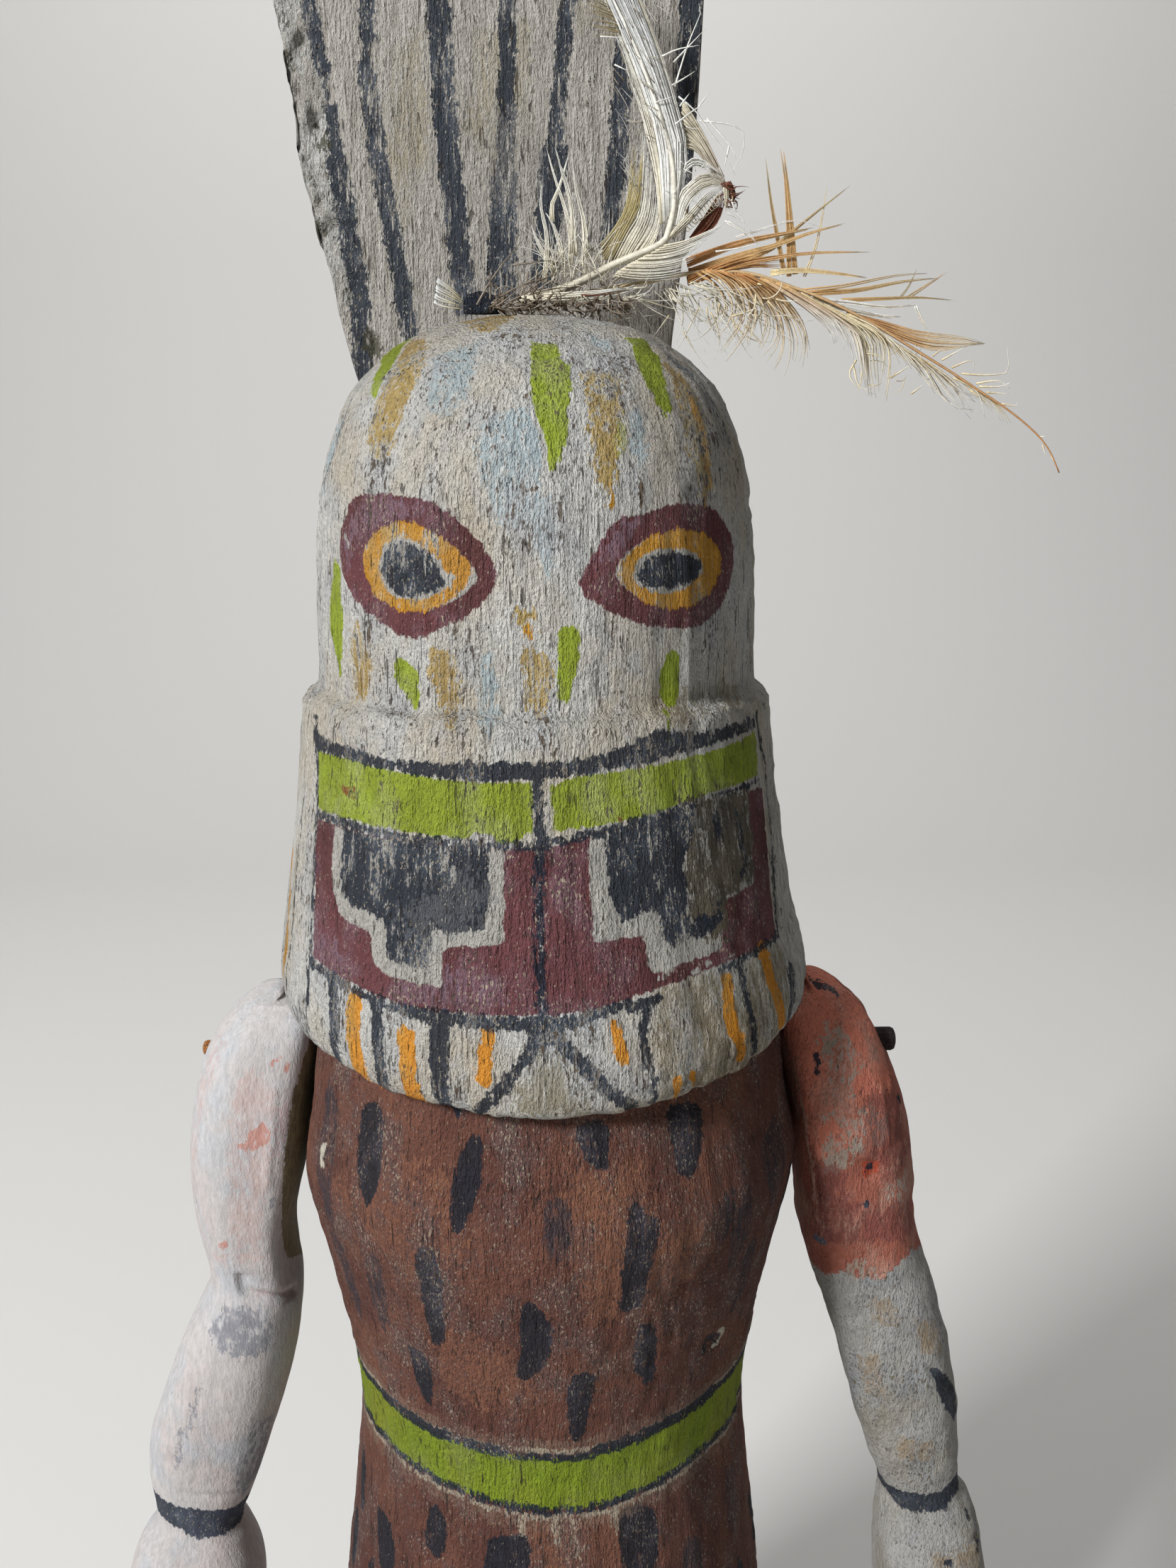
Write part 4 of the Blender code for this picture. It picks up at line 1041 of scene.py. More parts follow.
RIGHT_FILMS = [
    film("chalk", (184, 180, 179), (184, 174, 171), (174, 178, 184), ragged=0.9, worn=0.1, specks=0.12,
         flecks=0.0),
    film("sheer coral", (186, 160, 154), ragged=2.6, worn=0.46, cover=0.6, specks=0.1),
    film("coral", (180, 122, 108), ragged=1.0, cover=0.8, specks=0.1),
    film("mauve", (180, 150, 150), ragged=1.4, worn=0.4, cover=0.6, specks=0.1),
    # Smudge: real grey smudges, and painted shade down the inner side of the forearm.
    film("smudge", (124, 126, 134), ragged=2.4, worn=0.46, cover=0.8, specks=0.3),
    film("dark", NAVY, (44, 50, 66), NAVY_BLOOM, ragged=0.8, worn=0.24, specks=0.0, flecks=0.5),
]
LEFT_FILMS = [
    film("forearm", (168, 166, 162), (148, 142, 130), (158, 161, 165), ragged=1.0, specks=0.8, flecks=0.0),
    film("coral", (166, 98, 82), (150, 82, 68), (184, 140, 124), ragged=1.2, worn=0.16, specks=0.25,
         flecks=0.3),
    # Bright coral on the shoulder: painted light.
    film("lit coral", (222, 134, 110), bloom=(220, 158, 138), ragged=3.0, worn=0.4, cover=0.8, specks=0.2),
    film("grime", (168, 156, 142), bloom=(184, 178, 172), ragged=2.2, worn=0.5, cover=0.9, flecks=0.1),
    film("mauve", (128, 74, 68), (112, 72, 68), ragged=2.8, worn=0.42, cover=0.75),
    film("bright coral", (178, 80, 56), ragged=0.6, worn=0.1, specks=0.1),
    film("pale edge", (196, 150, 134), ragged=1.0, worn=0.4, specks=0.1),
    film("tan", (150, 128, 98), ragged=1.8, worn=0.44, cover=0.7),
    film("smudge", (92, 104, 120), ragged=1.0, worn=0.4, specks=0.2),
    film("dark", NAVY, (50, 56, 62), NAVY_BLOOM, ragged=0.8, specks=0.0, flecks=0.4),
]


def build_arm(name, side, stations, cuts, grounds, patches, strokes, films, slot, seed, checked, rough):
    """One arm. grounds lays its broad colours, and rough is the height of its surface's lumps in mm."""
    points, girth = arm_points(stations, side)
    points = carve_arm(points, girth, seed, cuts, rough)
    work = Brushwork(girth, points[..., 2], UNROLLED)
    grounds(work)
    work.patches(patches)
    work.strokes(strokes)
    mesh = grid_mesh(name + "_carved", points, cap_ends=True)
    work.keep(mesh, films)
    label = name.replace("_", " ") + " paint"
    material = painted_wood(label, ARM_WOOD, films, stretch=0.3, checked=checked, depth=2.0 * rough)
    keep_field(mesh, "crust", 0.85)
    piece(name + "_carved", mesh, material, slot, name)


def right_grounds(work):
    """Chalk paint, worn away along the inner side of the upper arm."""
    edge = np.interp(work.height, (212, 221, 226, 238, 248, 256, 265, 272),
                     (-30, -12.6, -11.6, -10, -9.8, -10.2, -10.4, -11))
    back = np.abs(work.angle) > 34
    work.fields["chalk"] = np.where(back, 3.0, work.angle - edge)


def left_grounds(work):
    """Coral down to the elbow and chalky white below."""
    edge = np.interp(work.angle, (-40, -12.3, -6.9, -3.5, 1, 4.4, 10.6, 17, 40),
                     (216, 216.3, 218.9, 217.2, 217.2, 219.7, 222.3, 219.7, 218))
    work.fields["coral"] = work.height - edge
    work.fields["forearm"] = edge + 1 - work.height


def build_arms():
    build_arm("arm_right", -1, RIGHT_ARM, RIGHT_CUTS, right_grounds, RIGHT_ARM_PATCHES, RIGHT_ARM_STROKES,
              RIGHT_FILMS, "chalk_paint", seed=61, checked=-0.4, rough=0.07)
    build_arm("arm_left", 1, LEFT_ARM, LEFT_CUTS, left_grounds, LEFT_ARM_PATCHES, LEFT_ARM_STROKES,
              LEFT_FILMS, "coral_paint", seed=71, checked=-0.2, rough=0.25)


# -------- the board on the crown
BOARD_LEFT = [(394, -31.4), (412, -36.6), (430, -41.2), (447.5, -45.4), (451, -46.4), (457, -46.2),
              (468, -48), (480, -50), (494, -52), (508, -53)]
BOARD_RIGHT = [(394, 25.6), (418, 27.8), (444, 31), (464, 32.4), (482, 33.2), (508, 34.4)]
BOARD_TOP = [(-53, 508), (-50, 515.5), (-40, 521), (-26, 524.2), (-10, 525), (6, 524.6), (20, 522.8),
             (30.5, 518.5), (34.4, 508)]
BOARD_FRONT, BOARD_THICK = 8.0, 7.0
BOARD_FOOT, BOARD_SHOULDER = 394, 508
# Places are (x, height); each stripe has its width in millimetres.
STRIPES = [
    ([(-34.6, 410), (-35.2, 427), (-37.3, 439), (-38.6, 450)], 4.2), ([(-38.6, 450), (-39.6, 460)], 2.6),
    ([(-41, 467.4), (-43.1, 479.3), (-45, 492), (-46.4, 510)], 3.2), ([(-39.6, 460), (-41, 468)], 1.3),
    ([(-25.2, 418), (-28, 436), (-30.6, 451), (-32.4, 467.6)], 3.7),
    ([(-31.9, 472.6), (-32, 484), (-32.6, 520)], 3.0), ([(-32.4, 467), (-32, 473)], 1.2),
    ([(-13.8, 423), (-14.4, 429), (-16.3, 448), (-17.3, 462.5), (-18.1, 479.6), (-19.4, 524)], 4.6),
    ([(-6.6, 425), (-6.4, 432), (-5.8, 447)], 5.4),
    ([(-5.7, 445), (-5, 460), (-4.8, 480), (-4.6, 524)], 3.5), ([(2.2, 428), (3, 440), (4.2, 452)], 5.4),
    ([(4.2, 451), (5.2, 464), (7, 479.8)], 3.0), ([(7, 479.8), (9.4, 523)], 3.6),
    ([(15.2, 434), (15.8, 442), (16.9, 454.3), (17.8, 468.6), (19, 484), (21, 521)], 3.6),
    ([(28.8, 446), (30, 458), (31, 480), (31.8, 516)], 4.4),
]
BOARD_STAINS = [
    [(-12, 474), (-1, 476), (0, 452), (-8, 448), (-13, 456)],
    [(-28, 470), (-22, 474), (-20, 450), (-27, 446)], [(-31, 462), (-27, 462), (-24, 440), (-28, 436)],
    [(8, 498), (16, 500), (16, 478), (9, 474)], [(-44, 498), (-37, 500), (-36, 484), (-42, 480)],
]
DUSTY_SMEAR = [(-9, 458), (-2, 458), (2, 450), (-2, 443), (-9, 444)]
CHIPPED_LOW, CHIPPED_HIGH = 424, 476


def board_points():
    """Loops round the board from its front left, one above another, bending up to its arched top."""
    heights = np.concatenate([np.arange(BOARD_FOOT, BOARD_SHOULDER, 0.95), [BOARD_SHOULDER]])
    share = (heights - BOARD_FOOT) / (BOARD_SHOULDER - BOARD_FOOT)
    front = np.linspace(0, 1, 112)
    back = np.linspace(1, 0, 44)
    edge = np.linspace(0, 1, 8)[1:-1]
    u = np.concatenate([front, np.ones_like(edge), back, np.zeros_like(edge)])
    over, out = np.cos(edge * math.pi), np.sin(edge * math.pi)
    turn = np.concatenate([-np.ones_like(front), -over, np.ones_like(back), over])
    bulge = np.concatenate([np.zeros_like(front), out, np.zeros_like(back), -out])
    left = np.interp(heights, *zip(*BOARD_LEFT))[:, None]
    right = np.interp(heights, *zip(*BOARD_RIGHT))[:, None]
    x = left + (right - left) * u
    start, end = BOARD_TOP[0][0], BOARD_TOP[-1][0]
    top = np.interp(start + (end - start) * u, *zip(*BOARD_TOP))
    z = BOARD_FOOT + (top - BOARD_FOOT) * share[:, None]
    y = BOARD_FRONT + BOARD_THICK / 2 * (1 + turn) + np.zeros_like(x)
    x = x + bulge * 0.6
    return np.stack([x, y, z], axis=-1)


def carve_board(points):
    """Grooved grain all over, and a crumbled left edge with a notch near its foot."""
    x, z = points[..., 0], points[..., 2]
    from_front = points[..., 1] - BOARD_FRONT
    facing = np.where(from_front < 1, -1.0, np.where(from_front > BOARD_THICK - 1, 1.0, 0))
    relief = 0.22 * ripple(points, (1.7, 50, 26), 81) + 0.16 * ripple(points, (3.6, 50, 12), 82)
    relief += 0.12 * ripple(points, (1.6, 50, 4), 83)
    from_left = x - np.interp(z, *zip(*BOARD_LEFT))
    crumbled = ease(from_left, 10.5, 3) * ease(z, CHIPPED_LOW - 6, CHIPPED_LOW + 5)
    crumbled *= ease(z, CHIPPED_HIGH + 8, CHIPPED_HIGH)
    lumps = ripple(points, (3.6, 9, 3.2), 84) + 0.6 * ripple(points, (1.7, 9, 1.8), 85)
    relief = relief + crumbled * (1.6 * lumps - 0.9)
    notch = np.exp(-((from_left - 4.6) / 1.6) ** 2 - ((z - 415.5) / 2.6) ** 2)
    relief -= 1.3 * notch
    points = points.copy()
    points[..., 1] += facing * np.minimum(relief, 0.5)
    side = ease(from_left, 3, 0)
    points[..., 0] += side * np.clip(crumbled * (0.6 * lumps + 0.5), 0, 1.4)
    return points, crumbled, notch


# Grey and beige wood with brown stains and dark brushed stripes. The crumbled edge is paler, partly a painted
# highlight, with painted shade in its recesses and in the notch.
BOARD_WOOD = ((196, 192, 185), (158, 152, 143))
BOARD_FILMS = [
    film("stain", (166, 154, 124), ragged=3.4, worn=0.5, cover=0.5, flecks=0.4),
    film("pale chips and highlight", (190, 189, 184), bloom=(170, 167, 156), ragged=1.8, worn=0.5, flecks=0.3),
    film("stripe", (40, 49, 61), (50, 58, 70), (100, 108, 120), ragged=1.1, worn=0.4, cover=0.94, specks=0.0,
         flecks=0.9),
    film("dusty smear", (150, 146, 142), ragged=6.0, worn=0.5, cover=0.6),
    film("shaded hollow", (72, 70, 54), ragged=1.0, cover=0.85, specks=0.6),
]


def build_board():
    points, crumbled, notch = carve_board(board_points())
    rear = points[..., 1] > BOARD_FRONT + 2
    work = Brushwork(points[..., 0], points[..., 2], UNROLLED)
    work.strokes({"stripe": STRIPES})
    work.patches({"stain": BOARD_STAINS})
    work.patch("dusty smear", DUSTY_SMEAR, smooth=True)
    work.fields["stripe"][rear.ravel()] = UNPAINTED
    # The crumbled edge is painted pale, partly as highlight, and its recesses and the notch dark as painted
    # shade.
    work.fields["pale chips and highlight"] = 4 * crumbled.ravel() - 1.6
    pressed = crumbled * ripple(points, (3.6, 9, 3.2), 84) * -1
    work.fields["shaded hollow"] = np.maximum(2.2 * pressed - 0.9, 2 * notch - 0.7).ravel()
    mesh = grid_mesh("board_carved", points, cap_ends=True)
    work.keep(mesh, BOARD_FILMS)
    material = painted_wood("weathered board", BOARD_WOOD, BOARD_FILMS, fine=1150.0, stretch=0.13,
                            checked=0.55, depth=0.7, speck=(96, 86, 76), grit=(196, 190, 178),
                            bare_specks=0.5)
    piece("board_carved", mesh, material, "weathered_board", "tableta")


# -------- feathers
WEB_REACH, WEB_THICK = 0.8, 0.16


def evenly(places, fineness, count):
    """Evenly spaced points on a smooth curve through the places."""
    curve = catmull(places, fineness) if len(places) > 2 else np.array(places, float)
    run = run_along(curve)
    at = np.linspace(0, run[-1], count)
    return np.column_stack([np.interp(at, run, column) for column in curve.T])


class Barbs:
    """Thin tapering strands gathered into one mesh, each with its own colour."""

    def __init__(self, seed):
        self.random = np.random.default_rng(seed)
        self.points, self.faces, self.colours, self.count = [], [], [], 0

    def skin(self, rings, colours):
        """Adds rings of points with a skin around them, closed at both ends and coloured ring by ring."""
        steps, around = rings.shape[:2]
        corner = np.arange(around)
        after = (corner + 1) % around
        for i in range(steps - 1):
            a = self.count + around * i
            self.faces += [(a + c, a + d, a + around + d, a + around + c) for c, d in zip(corner, after)]
        self.faces.append(tuple(self.count + corner[::-1]))
        self.faces.append(tuple(self.count + around * (steps - 1) + corner))
        self.points.append(rings.reshape(-1, 3))
        self.colours.append(np.repeat(colours, around, axis=0))
        self.count += steps * around

    def lay(self, places, y, width, colours, drift=0.0, flat=0.45, steps=9, tip=0.12):
        """A strand over (x, height) places, at depth y, drifting by drift towards its tip. colours are the
        root's and the tip's, flat is its thickness and tip its tip's width, both as shares of width."""
        self.random.normal(size=2)    # passed over: every later strand's draws depend on it
        places = np.array(places, float)
        depth = y + drift * np.linspace(0, 1, len(places))
        line = evenly(np.column_stack([places[:, 0], depth, places[:, 1]]), 4, steps)
        side = np.cross(np.gradient(line, axis=0), (0.0, 1.0, 0.0))
        side /= np.maximum(np.linalg.norm(side, axis=1, keepdims=True), 1e-6)
        t = np.linspace(0, 1, steps)[:, None]
        half = width / 2 * (1 - (1 - tip) * t**1.6)
        thick = np.array([0.0, 1.0, 0.0]) * half * flat
        root, far = (np.array(c) for c in colours)
        shade = 1 + 0.22 * (self.random.random() - 0.5)
        self.skin(np.stack([line + side * half, line + thick, line - side * half, line - thick], axis=1),
                  (root + (far - root) * t) * shade)

    def fan(self, guides, count, y, width, colours, drift=0.0, ragged=0.15, spread=0.5, steps=9):
        """A vane: barbs side by side, each between two neighbouring guides. ragged shortens some."""
        even = np.stack([evenly(guide, 5, 9) for guide in guides])
        for k in range(count):
            at = (k + 0.3 * self.random.normal()) / max(count - 1, 1) * (len(guides) - 1)
            at = min(max(at, 0), len(guides) - 1.001)
            low = int(at)
            route = even[low] + (even[low + 1] - even[low]) * (at - low)
            keep = 1 - ragged * self.random.random() ** 2
            route = route[:max(4, int(round(keep * len(route))))]
            wave = self.random.normal() * 0.12 * np.linspace(0, 1, len(route))[:, None] ** 2
            depth = y + spread * (self.random.random() - 0.5)
            self.lay(route + wave, depth, width, colours, drift=drift, steps=steps)

    def web(self, guides, y, colours, drift):
        """The thin skin that a vane's barbs make together, stopping short of the guides' ends. It is darker
        than the barbs: painted shade in the gaps between them.
        """
        even = np.stack([evenly(guide, 5, 9) for guide in guides])
        t = np.linspace(0, 1, even.shape[1])
        keep = t <= WEB_REACH
        depth = np.broadcast_to(y + drift * t, even.shape[:2])
        front = np.stack([even[..., 0], depth, even[..., 1]], axis=-1)[:, keep]
        rings = np.concatenate([front, front[::-1] + (0, WEB_THICK, 0)]).transpose(1, 0, 2)
        root, far = (np.array(c) for c in colours)
        # Darkened to 0.72 of the barbs' colours: painted shade between the barbs.
        self.skin(rings, 0.72 * (root + (far - root) * t[keep][:, None]))

    def bundle(self, places, y, width, colours, count, drift=0.0):
        """Barbs stuck together into one spike, spread at the root and meeting at the tip."""
        places = np.array(places, float)
        t = np.linspace(0, 1, len(places))[:, None]
        along = places[-1] - places[0]
        across = np.array([along[1], -along[0]]) / max(np.linalg.norm(along), 1e-6)
        for k in range(count):
            shift = (k / max(count - 1, 1) - 0.5) * width * (1 - 0.85 * t**1.4)
            keep = places + across * shift
            keep[-1] = keep[-2] + (keep[-1] - keep[-2]) * (0.75 + 0.25 * self.random.random())
            depth = y + 0.25 * (self.random.random() - 0.5)
            mixed = (colours[0], STRAW) if k % 3 == 2 and count > 4 else colours
            self.lay(keep, depth, width / count * 1.4, mixed, drift=drift)

    def strays(self, count, middle, size, length, heading, spread, y, width, colours, curl=0.6):
        """Loose strands scattered about a place, heading one way give or take spread, in degrees."""
        for _ in range(count):
            start = np.array(middle) + np.array(size) * self.random.uniform(-1, 1, 2)
            way = math.radians(heading + spread * self.random.normal())
            reach = length * self.random.uniform(0.45, 1.15)
            bend = curl * self.random.normal()
            places = [start]
            for step in range(4):
                way += bend * 0.35
                places.append(places[-1] + reach / 4 * np.array([math.cos(way), math.sin(way)]))
            depth = y + 1.6 * self.random.normal()
            wide = width * self.random.uniform(0.7, 1.2)
            self.lay(places, depth, wide, colours, self.random.normal() * 2)

    def mesh(self, name):
        mesh = bpy.data.meshes.new(name)
        points = np.vstack(self.points) * MM
        mesh.from_pydata(points.tolist(), [], self.faces)
        mesh.shade_smooth()
        colours = np.clip(np.vstack(self.colours), 0, 1)
        layer = mesh.color_attributes.new("barb colour", "FLOAT_COLOR", "POINT")
        solid = np.column_stack([colours, np.ones(len(colours))])
        layer.data.foreach_set("color", solid.astype(np.float32).ravel())
        return mesh


def feather_material(name, shade):
    """Dry horny barbs: each keeps its own colour, with dusty patches along it."""
    material, tree, shader = new_material(name)
    own = tree.nodes.new("ShaderNodeAttribute")
    own.attribute_name = "barb colour"
    coordinates = tree.nodes.new("ShaderNodeTexCoord").outputs["Object"]
    dust = remap(tree, noise(tree, coordinates, 420.0, 3.0, 0.6), 0.35, 0.75)
    fine = remap(tree, noise(tree, coordinates, 1900.0, 2.0, 0.5), 0.3, 0.7, 0.84, 1.1)
    colour = blend(tree, calc(tree, "MULTIPLY", dust, 0.35), own.outputs["Color"], shade)
    feed(tree, shader, "Base Color", blend(tree, 1.0, colour, fine, "MULTIPLY"))
    feed(tree, shader, "Roughness", remap(tree, dust, 0.0, 1.0, 0.55, 0.8))
    return material


CREAM, WHITE, PEARL = srgb(222, 214, 190), srgb(238, 237, 230), srgb(222, 224, 224)
YELLOW, OLIVE, ORANGE = srgb(200, 184, 126), srgb(158, 146, 112), srgb(196, 138, 86)
TAN, RUST, STRAW = srgb(204, 164, 110), srgb(112, 58, 40), srgb(222, 206, 164)
ASH, DUST, SOOT = srgb(150, 140, 128), srgb(122, 108, 92), srgb(62, 50, 42)

UPRIGHT_QUILL = [(-2.9, 422.7), (4.8, 424.5), (9.3, 426.2), (15.6, 429.3), (22, 431.9), (25, 433.5),
                 (26, 436), (26.8, 440), (26.6, 446), (25.6, 451), (23.4, 457.4), (20.6, 464.6),
                 (17.6, 471), (14, 478), (11, 486)]
VANE_BORDER = [(27.4, 441), (28.2, 446), (28.6, 450), (27.7, 453.7), (25.9, 459), (24.2, 464.5),
               (20.4, 473.6), (15, 486)]
# Vanes of the upright feather: kind, depth, drift, count, barb width, colours, guides of (x, height).
UPRIGHT_VANES = [
    ("webbed", -5.4, 0.4, 20, 0.36, (CREAM, WHITE),
     [[(24.3, 436.7), (23.3, 445), (21.8, 451.3), (20.6, 456.4), (18.8, 461.4), (17.4, 466)],
      [(24.9, 437), (24.4, 445), (23.5, 452), (21.8, 457.6), (19.7, 463.3), (17.6, 468.3), (15, 474),
       (11.6, 481)]]),
    ("webbed", -6.4, 0.4, 45, 0.43, (WHITE, PEARL),
     [[(24.9, 437), (24.4, 445), (23.5, 452), (21.8, 457.6), (19.7, 463.3), (17.6, 468.3), (15, 474),
       (11, 482)],
      [(25.8, 438), (25.7, 445), (25.2, 452), (23.5, 458), (21.3, 463.3), (18.8, 468.3), (14.6, 476.5),
       (10, 487)],
      [(26.6, 438.7), (27, 445), (26.9, 451.4), (25.1, 456.8), (23.4, 461.4), (21.3, 466.8), (16.7, 476.2),
       (11.6, 487)],
      VANE_BORDER]),
    ("webbed", -5.9, 0.6, 16, 0.36, (PEARL, CREAM),
     [VANE_BORDER,
      [(28.5, 443), (29.3, 447.5), (28.6, 453.3), (27.4, 457), (26.6, 460), (25.3, 464), (21.7, 472.8),
       (17, 483)]]),
    ("brush", -5.2, -0.6, 39, 0.29, (srgb(150, 138, 108), OLIVE),
     [[(11.4, 485), (8, 487.6), (4.4, 489)], [(14.4, 479), (10, 481.4), (5.6, 483)],
      [(16.5, 473.5), (13.4, 475), (9.3, 476.5)], [(16.3, 472.4), (13, 473.5), (9.3, 474.2)],
      [(16.5, 470.3), (13.8, 470.1), (11.2, 470.1)]]),
    ("open", -5.0, 0.6, 27, 0.29, (OLIVE, YELLOW),
     [[(12.9, 433.1), (15, 435.5), (17.1, 438.7), (18.1, 442), (18.9, 451.3)],
      [(13.5, 430.3), (15.6, 433.9), (17.7, 438), (19.6, 442), (20.6, 447.4)],
      [(15, 430.3), (16.9, 433.9), (18.6, 437), (20.3, 440.3), (20.9, 451)]]),
    ("webbed", -4.8, 0.6, 36, 0.32, (CREAM, WHITE),
     [[(15, 430.3), (16.9, 433.9), (18.6, 437), (20.3, 440.3), (20.9, 453.7)],
      [(16.9, 429.9), (18.6, 433), (20.7, 436.7), (21.9, 441), (22.1, 449)],
      [(19, 431), (21.2, 433.9), (22.8, 437), (23.6, 442.7)],
      [(22.4, 432.4), (23.8, 435), (24.4, 438), (24.6, 442)]]),
    ("webbed", -6.9, -0.6, 39, 0.3, (CREAM, WHITE),
     [[(15.2, 427), (19.9, 426.3), (25.1, 426.5), (28.7, 427)],
      [(16.1, 428), (21.2, 427.7), (26.3, 428.1), (30.2, 429.3)],
      [(18.6, 429.5), (23.3, 429.5), (28.4, 430.5), (31.8, 432.4)],
      [(22, 431.1), (26.3, 431.5), (30.5, 433), (33.9, 434.6)],
      [(25, 432.7), (28.8, 433.5), (32.6, 435), (36.6, 436.8)]]),
    ("webbed", -6.6, 0.4, 14, 0.29, (CREAM, WHITE),
     [[(25.4, 433.7), (27.9, 435.2), (30.5, 437.6), (32.5, 440), (34.6, 442), (36.3, 443.2)],
      [(25.8, 434.3), (27.5, 436.4), (29.6, 438.6), (31.7, 441), (33.8, 442.8), (36.1, 443.8)]]),
    ("webbed", -6.3, 0.4, 26, 0.3, (WHITE, CREAM),
     [[(26.8, 436.4), (27.6, 441.6), (29.5, 444), (32.2, 445.8), (35.6, 445.2), (36.9, 443.4)],
      [(27.4, 436.4), (28.4, 440.8), (30.2, 443), (32.6, 444.6), (35.4, 444.4), (36.7, 442.8)],
      [(28.2, 436.6), (29.4, 440), (31, 442), (33.2, 443.4), (35.4, 443.6), (36.5, 442.4)]]),
    ("webbed", -6.0, 0.2, 14, 0.29, (WHITE, WHITE),
     [[(27.8, 443), (28.6, 445.5), (29.9, 447), (31.4, 447.3), (32.6, 446.5), (34.1, 445.7)],
      [(28.2, 445), (29, 447.5), (30.5, 448.5), (32.4, 448.1), (34.1, 446.9), (36, 445.5)]]),
    ("webbed", -5.2, 0.4, 26, 0.32, (CREAM, srgb(200, 186, 168)),
     [[(28.4, 459), (30.1, 456.4), (32.4, 453), (34.8, 448.8), (36.6, 445.2), (37.2, 443.4)],
      [(27.6, 454), (29.9, 452.8), (32, 450.6), (34.2, 447.4), (36, 444.8), (37, 443.2)],
      [(28, 450.4), (29.8, 450.4), (31.4, 449.6), (33.6, 446.8), (35.7, 444.2)]]),
    ("webbed", -4.4, 0.4, 15, 0.36, (RUST, RUST),
     [[(30.1, 434), (33, 435), (35.4, 437.4), (36.6, 440.4), (36.8, 443.2)],
      [(30.1, 434.4), (32, 437), (33.8, 439.8), (35.4, 442.4)]]),
    ("webbed", -6.8, 0.2, 6, 0.24, (CREAM, CREAM),
     [[(36.1, 443.2), (36.4, 441.2), (36.4, 439)], [(37, 443), (37.2, 441), (36.9, 439)]]),
]
UPRIGHT_SPIKES = [
    [(6, 429.3), (4.7, 434), (3.6, 437), (2.3, 438.9)],
    [(7, 428.5), (7.1, 434.6), (6, 439.7), (4.1, 445.1), (2.5, 450.7)],
    [(7.3, 431.5), (7.3, 439.7), (5.6, 445.7), (4.1, 451.1)],
    [(9.9, 430.7), (9.7, 436.7), (8.6, 441.7), (7.1, 451.1)],
    [(3.6, 437.2), (3.6, 440.3), (4.9, 443.3), (6.9, 449.7)], [(3.1, 429.9), (2.8, 431.9), (3.9, 434.4)],
    [(8, 431), (7.6, 437), (6.7, 443), (5.1, 447.7)], [(10.1, 431), (9.7, 437.1), (8.2, 443), (7.4, 449.7)],
    [(2, 426), (2.6, 434), (1.4, 440), (1.8, 445)], [(4, 428), (1, 433), (-0.6, 437)],
    [(24.6, 440), (22.4, 451), (21.6, 458)], [(16.3, 476.5), (17.9, 474.7), (19.3, 473.3)],
]
UPRIGHT_STRAYS = [
    [(24.1, 466), (27.2, 467.2), (31.1, 467.8)], [(26.3, 465), (28.9, 467.5), (32.2, 470.7)],
    [(26.6, 460.8), (28.9, 467.9), (31.3, 473.6), (30.8, 474.9)], [(26, 461), (28, 462), (30.4, 463.4)],
    [(27.6, 457.4), (29.3, 459.5)], [(26.7, 454.2), (30.6, 456.9), (33, 458.2)],
    [(31.1, 457.3), (33, 459.7)],
    [(27.3, 459.1), (30.6, 456.5), (32.7, 453.6), (35.4, 450.3), (38.2, 445.3)],
    [(31.3, 454.9), (38.7, 453.8), (39.7, 449.7), (36.9, 444.9)], [(32.7, 455.3), (37, 450.7), (38.4, 448)],
    [(37, 450.5), (36, 445.9)], [(12.6, 469.3), (17.7, 468.9)], [(15.3, 464.5), (17.7, 463.3)],
    [(23, 458), (26.4, 459)], [(36.4, 437.2), (39, 436), (41.2, 434.4), (42.9, 432.8)],
    [(36.8, 438.6), (39.4, 437.4), (41.6, 435)], [(34.8, 431.6), (39.1, 432.2), (43.3, 433.2)],
    [(37.6, 441), (38.6, 438.6), (39.8, 437.6), (40.2, 435.6)],
]
KNOT = [(36.5, 444.2), (37.5, 442.8), (38, 441.4), (37.5, 440)]

TAN_RACHIS = [(-1, 422.6), (18, 425.6), (30, 428), (37.7, 428.4), (43.7, 427.6), (49.3, 425.8),
              (54.5, 424.1), (61.1, 421.3), (68.2, 417.7), (75.5, 413.5), (81.8, 409.9), (87.7, 406.3),
              (93.6, 402.7), (99.1, 398.6), (102.6, 394.9), (105.1, 390.2)]
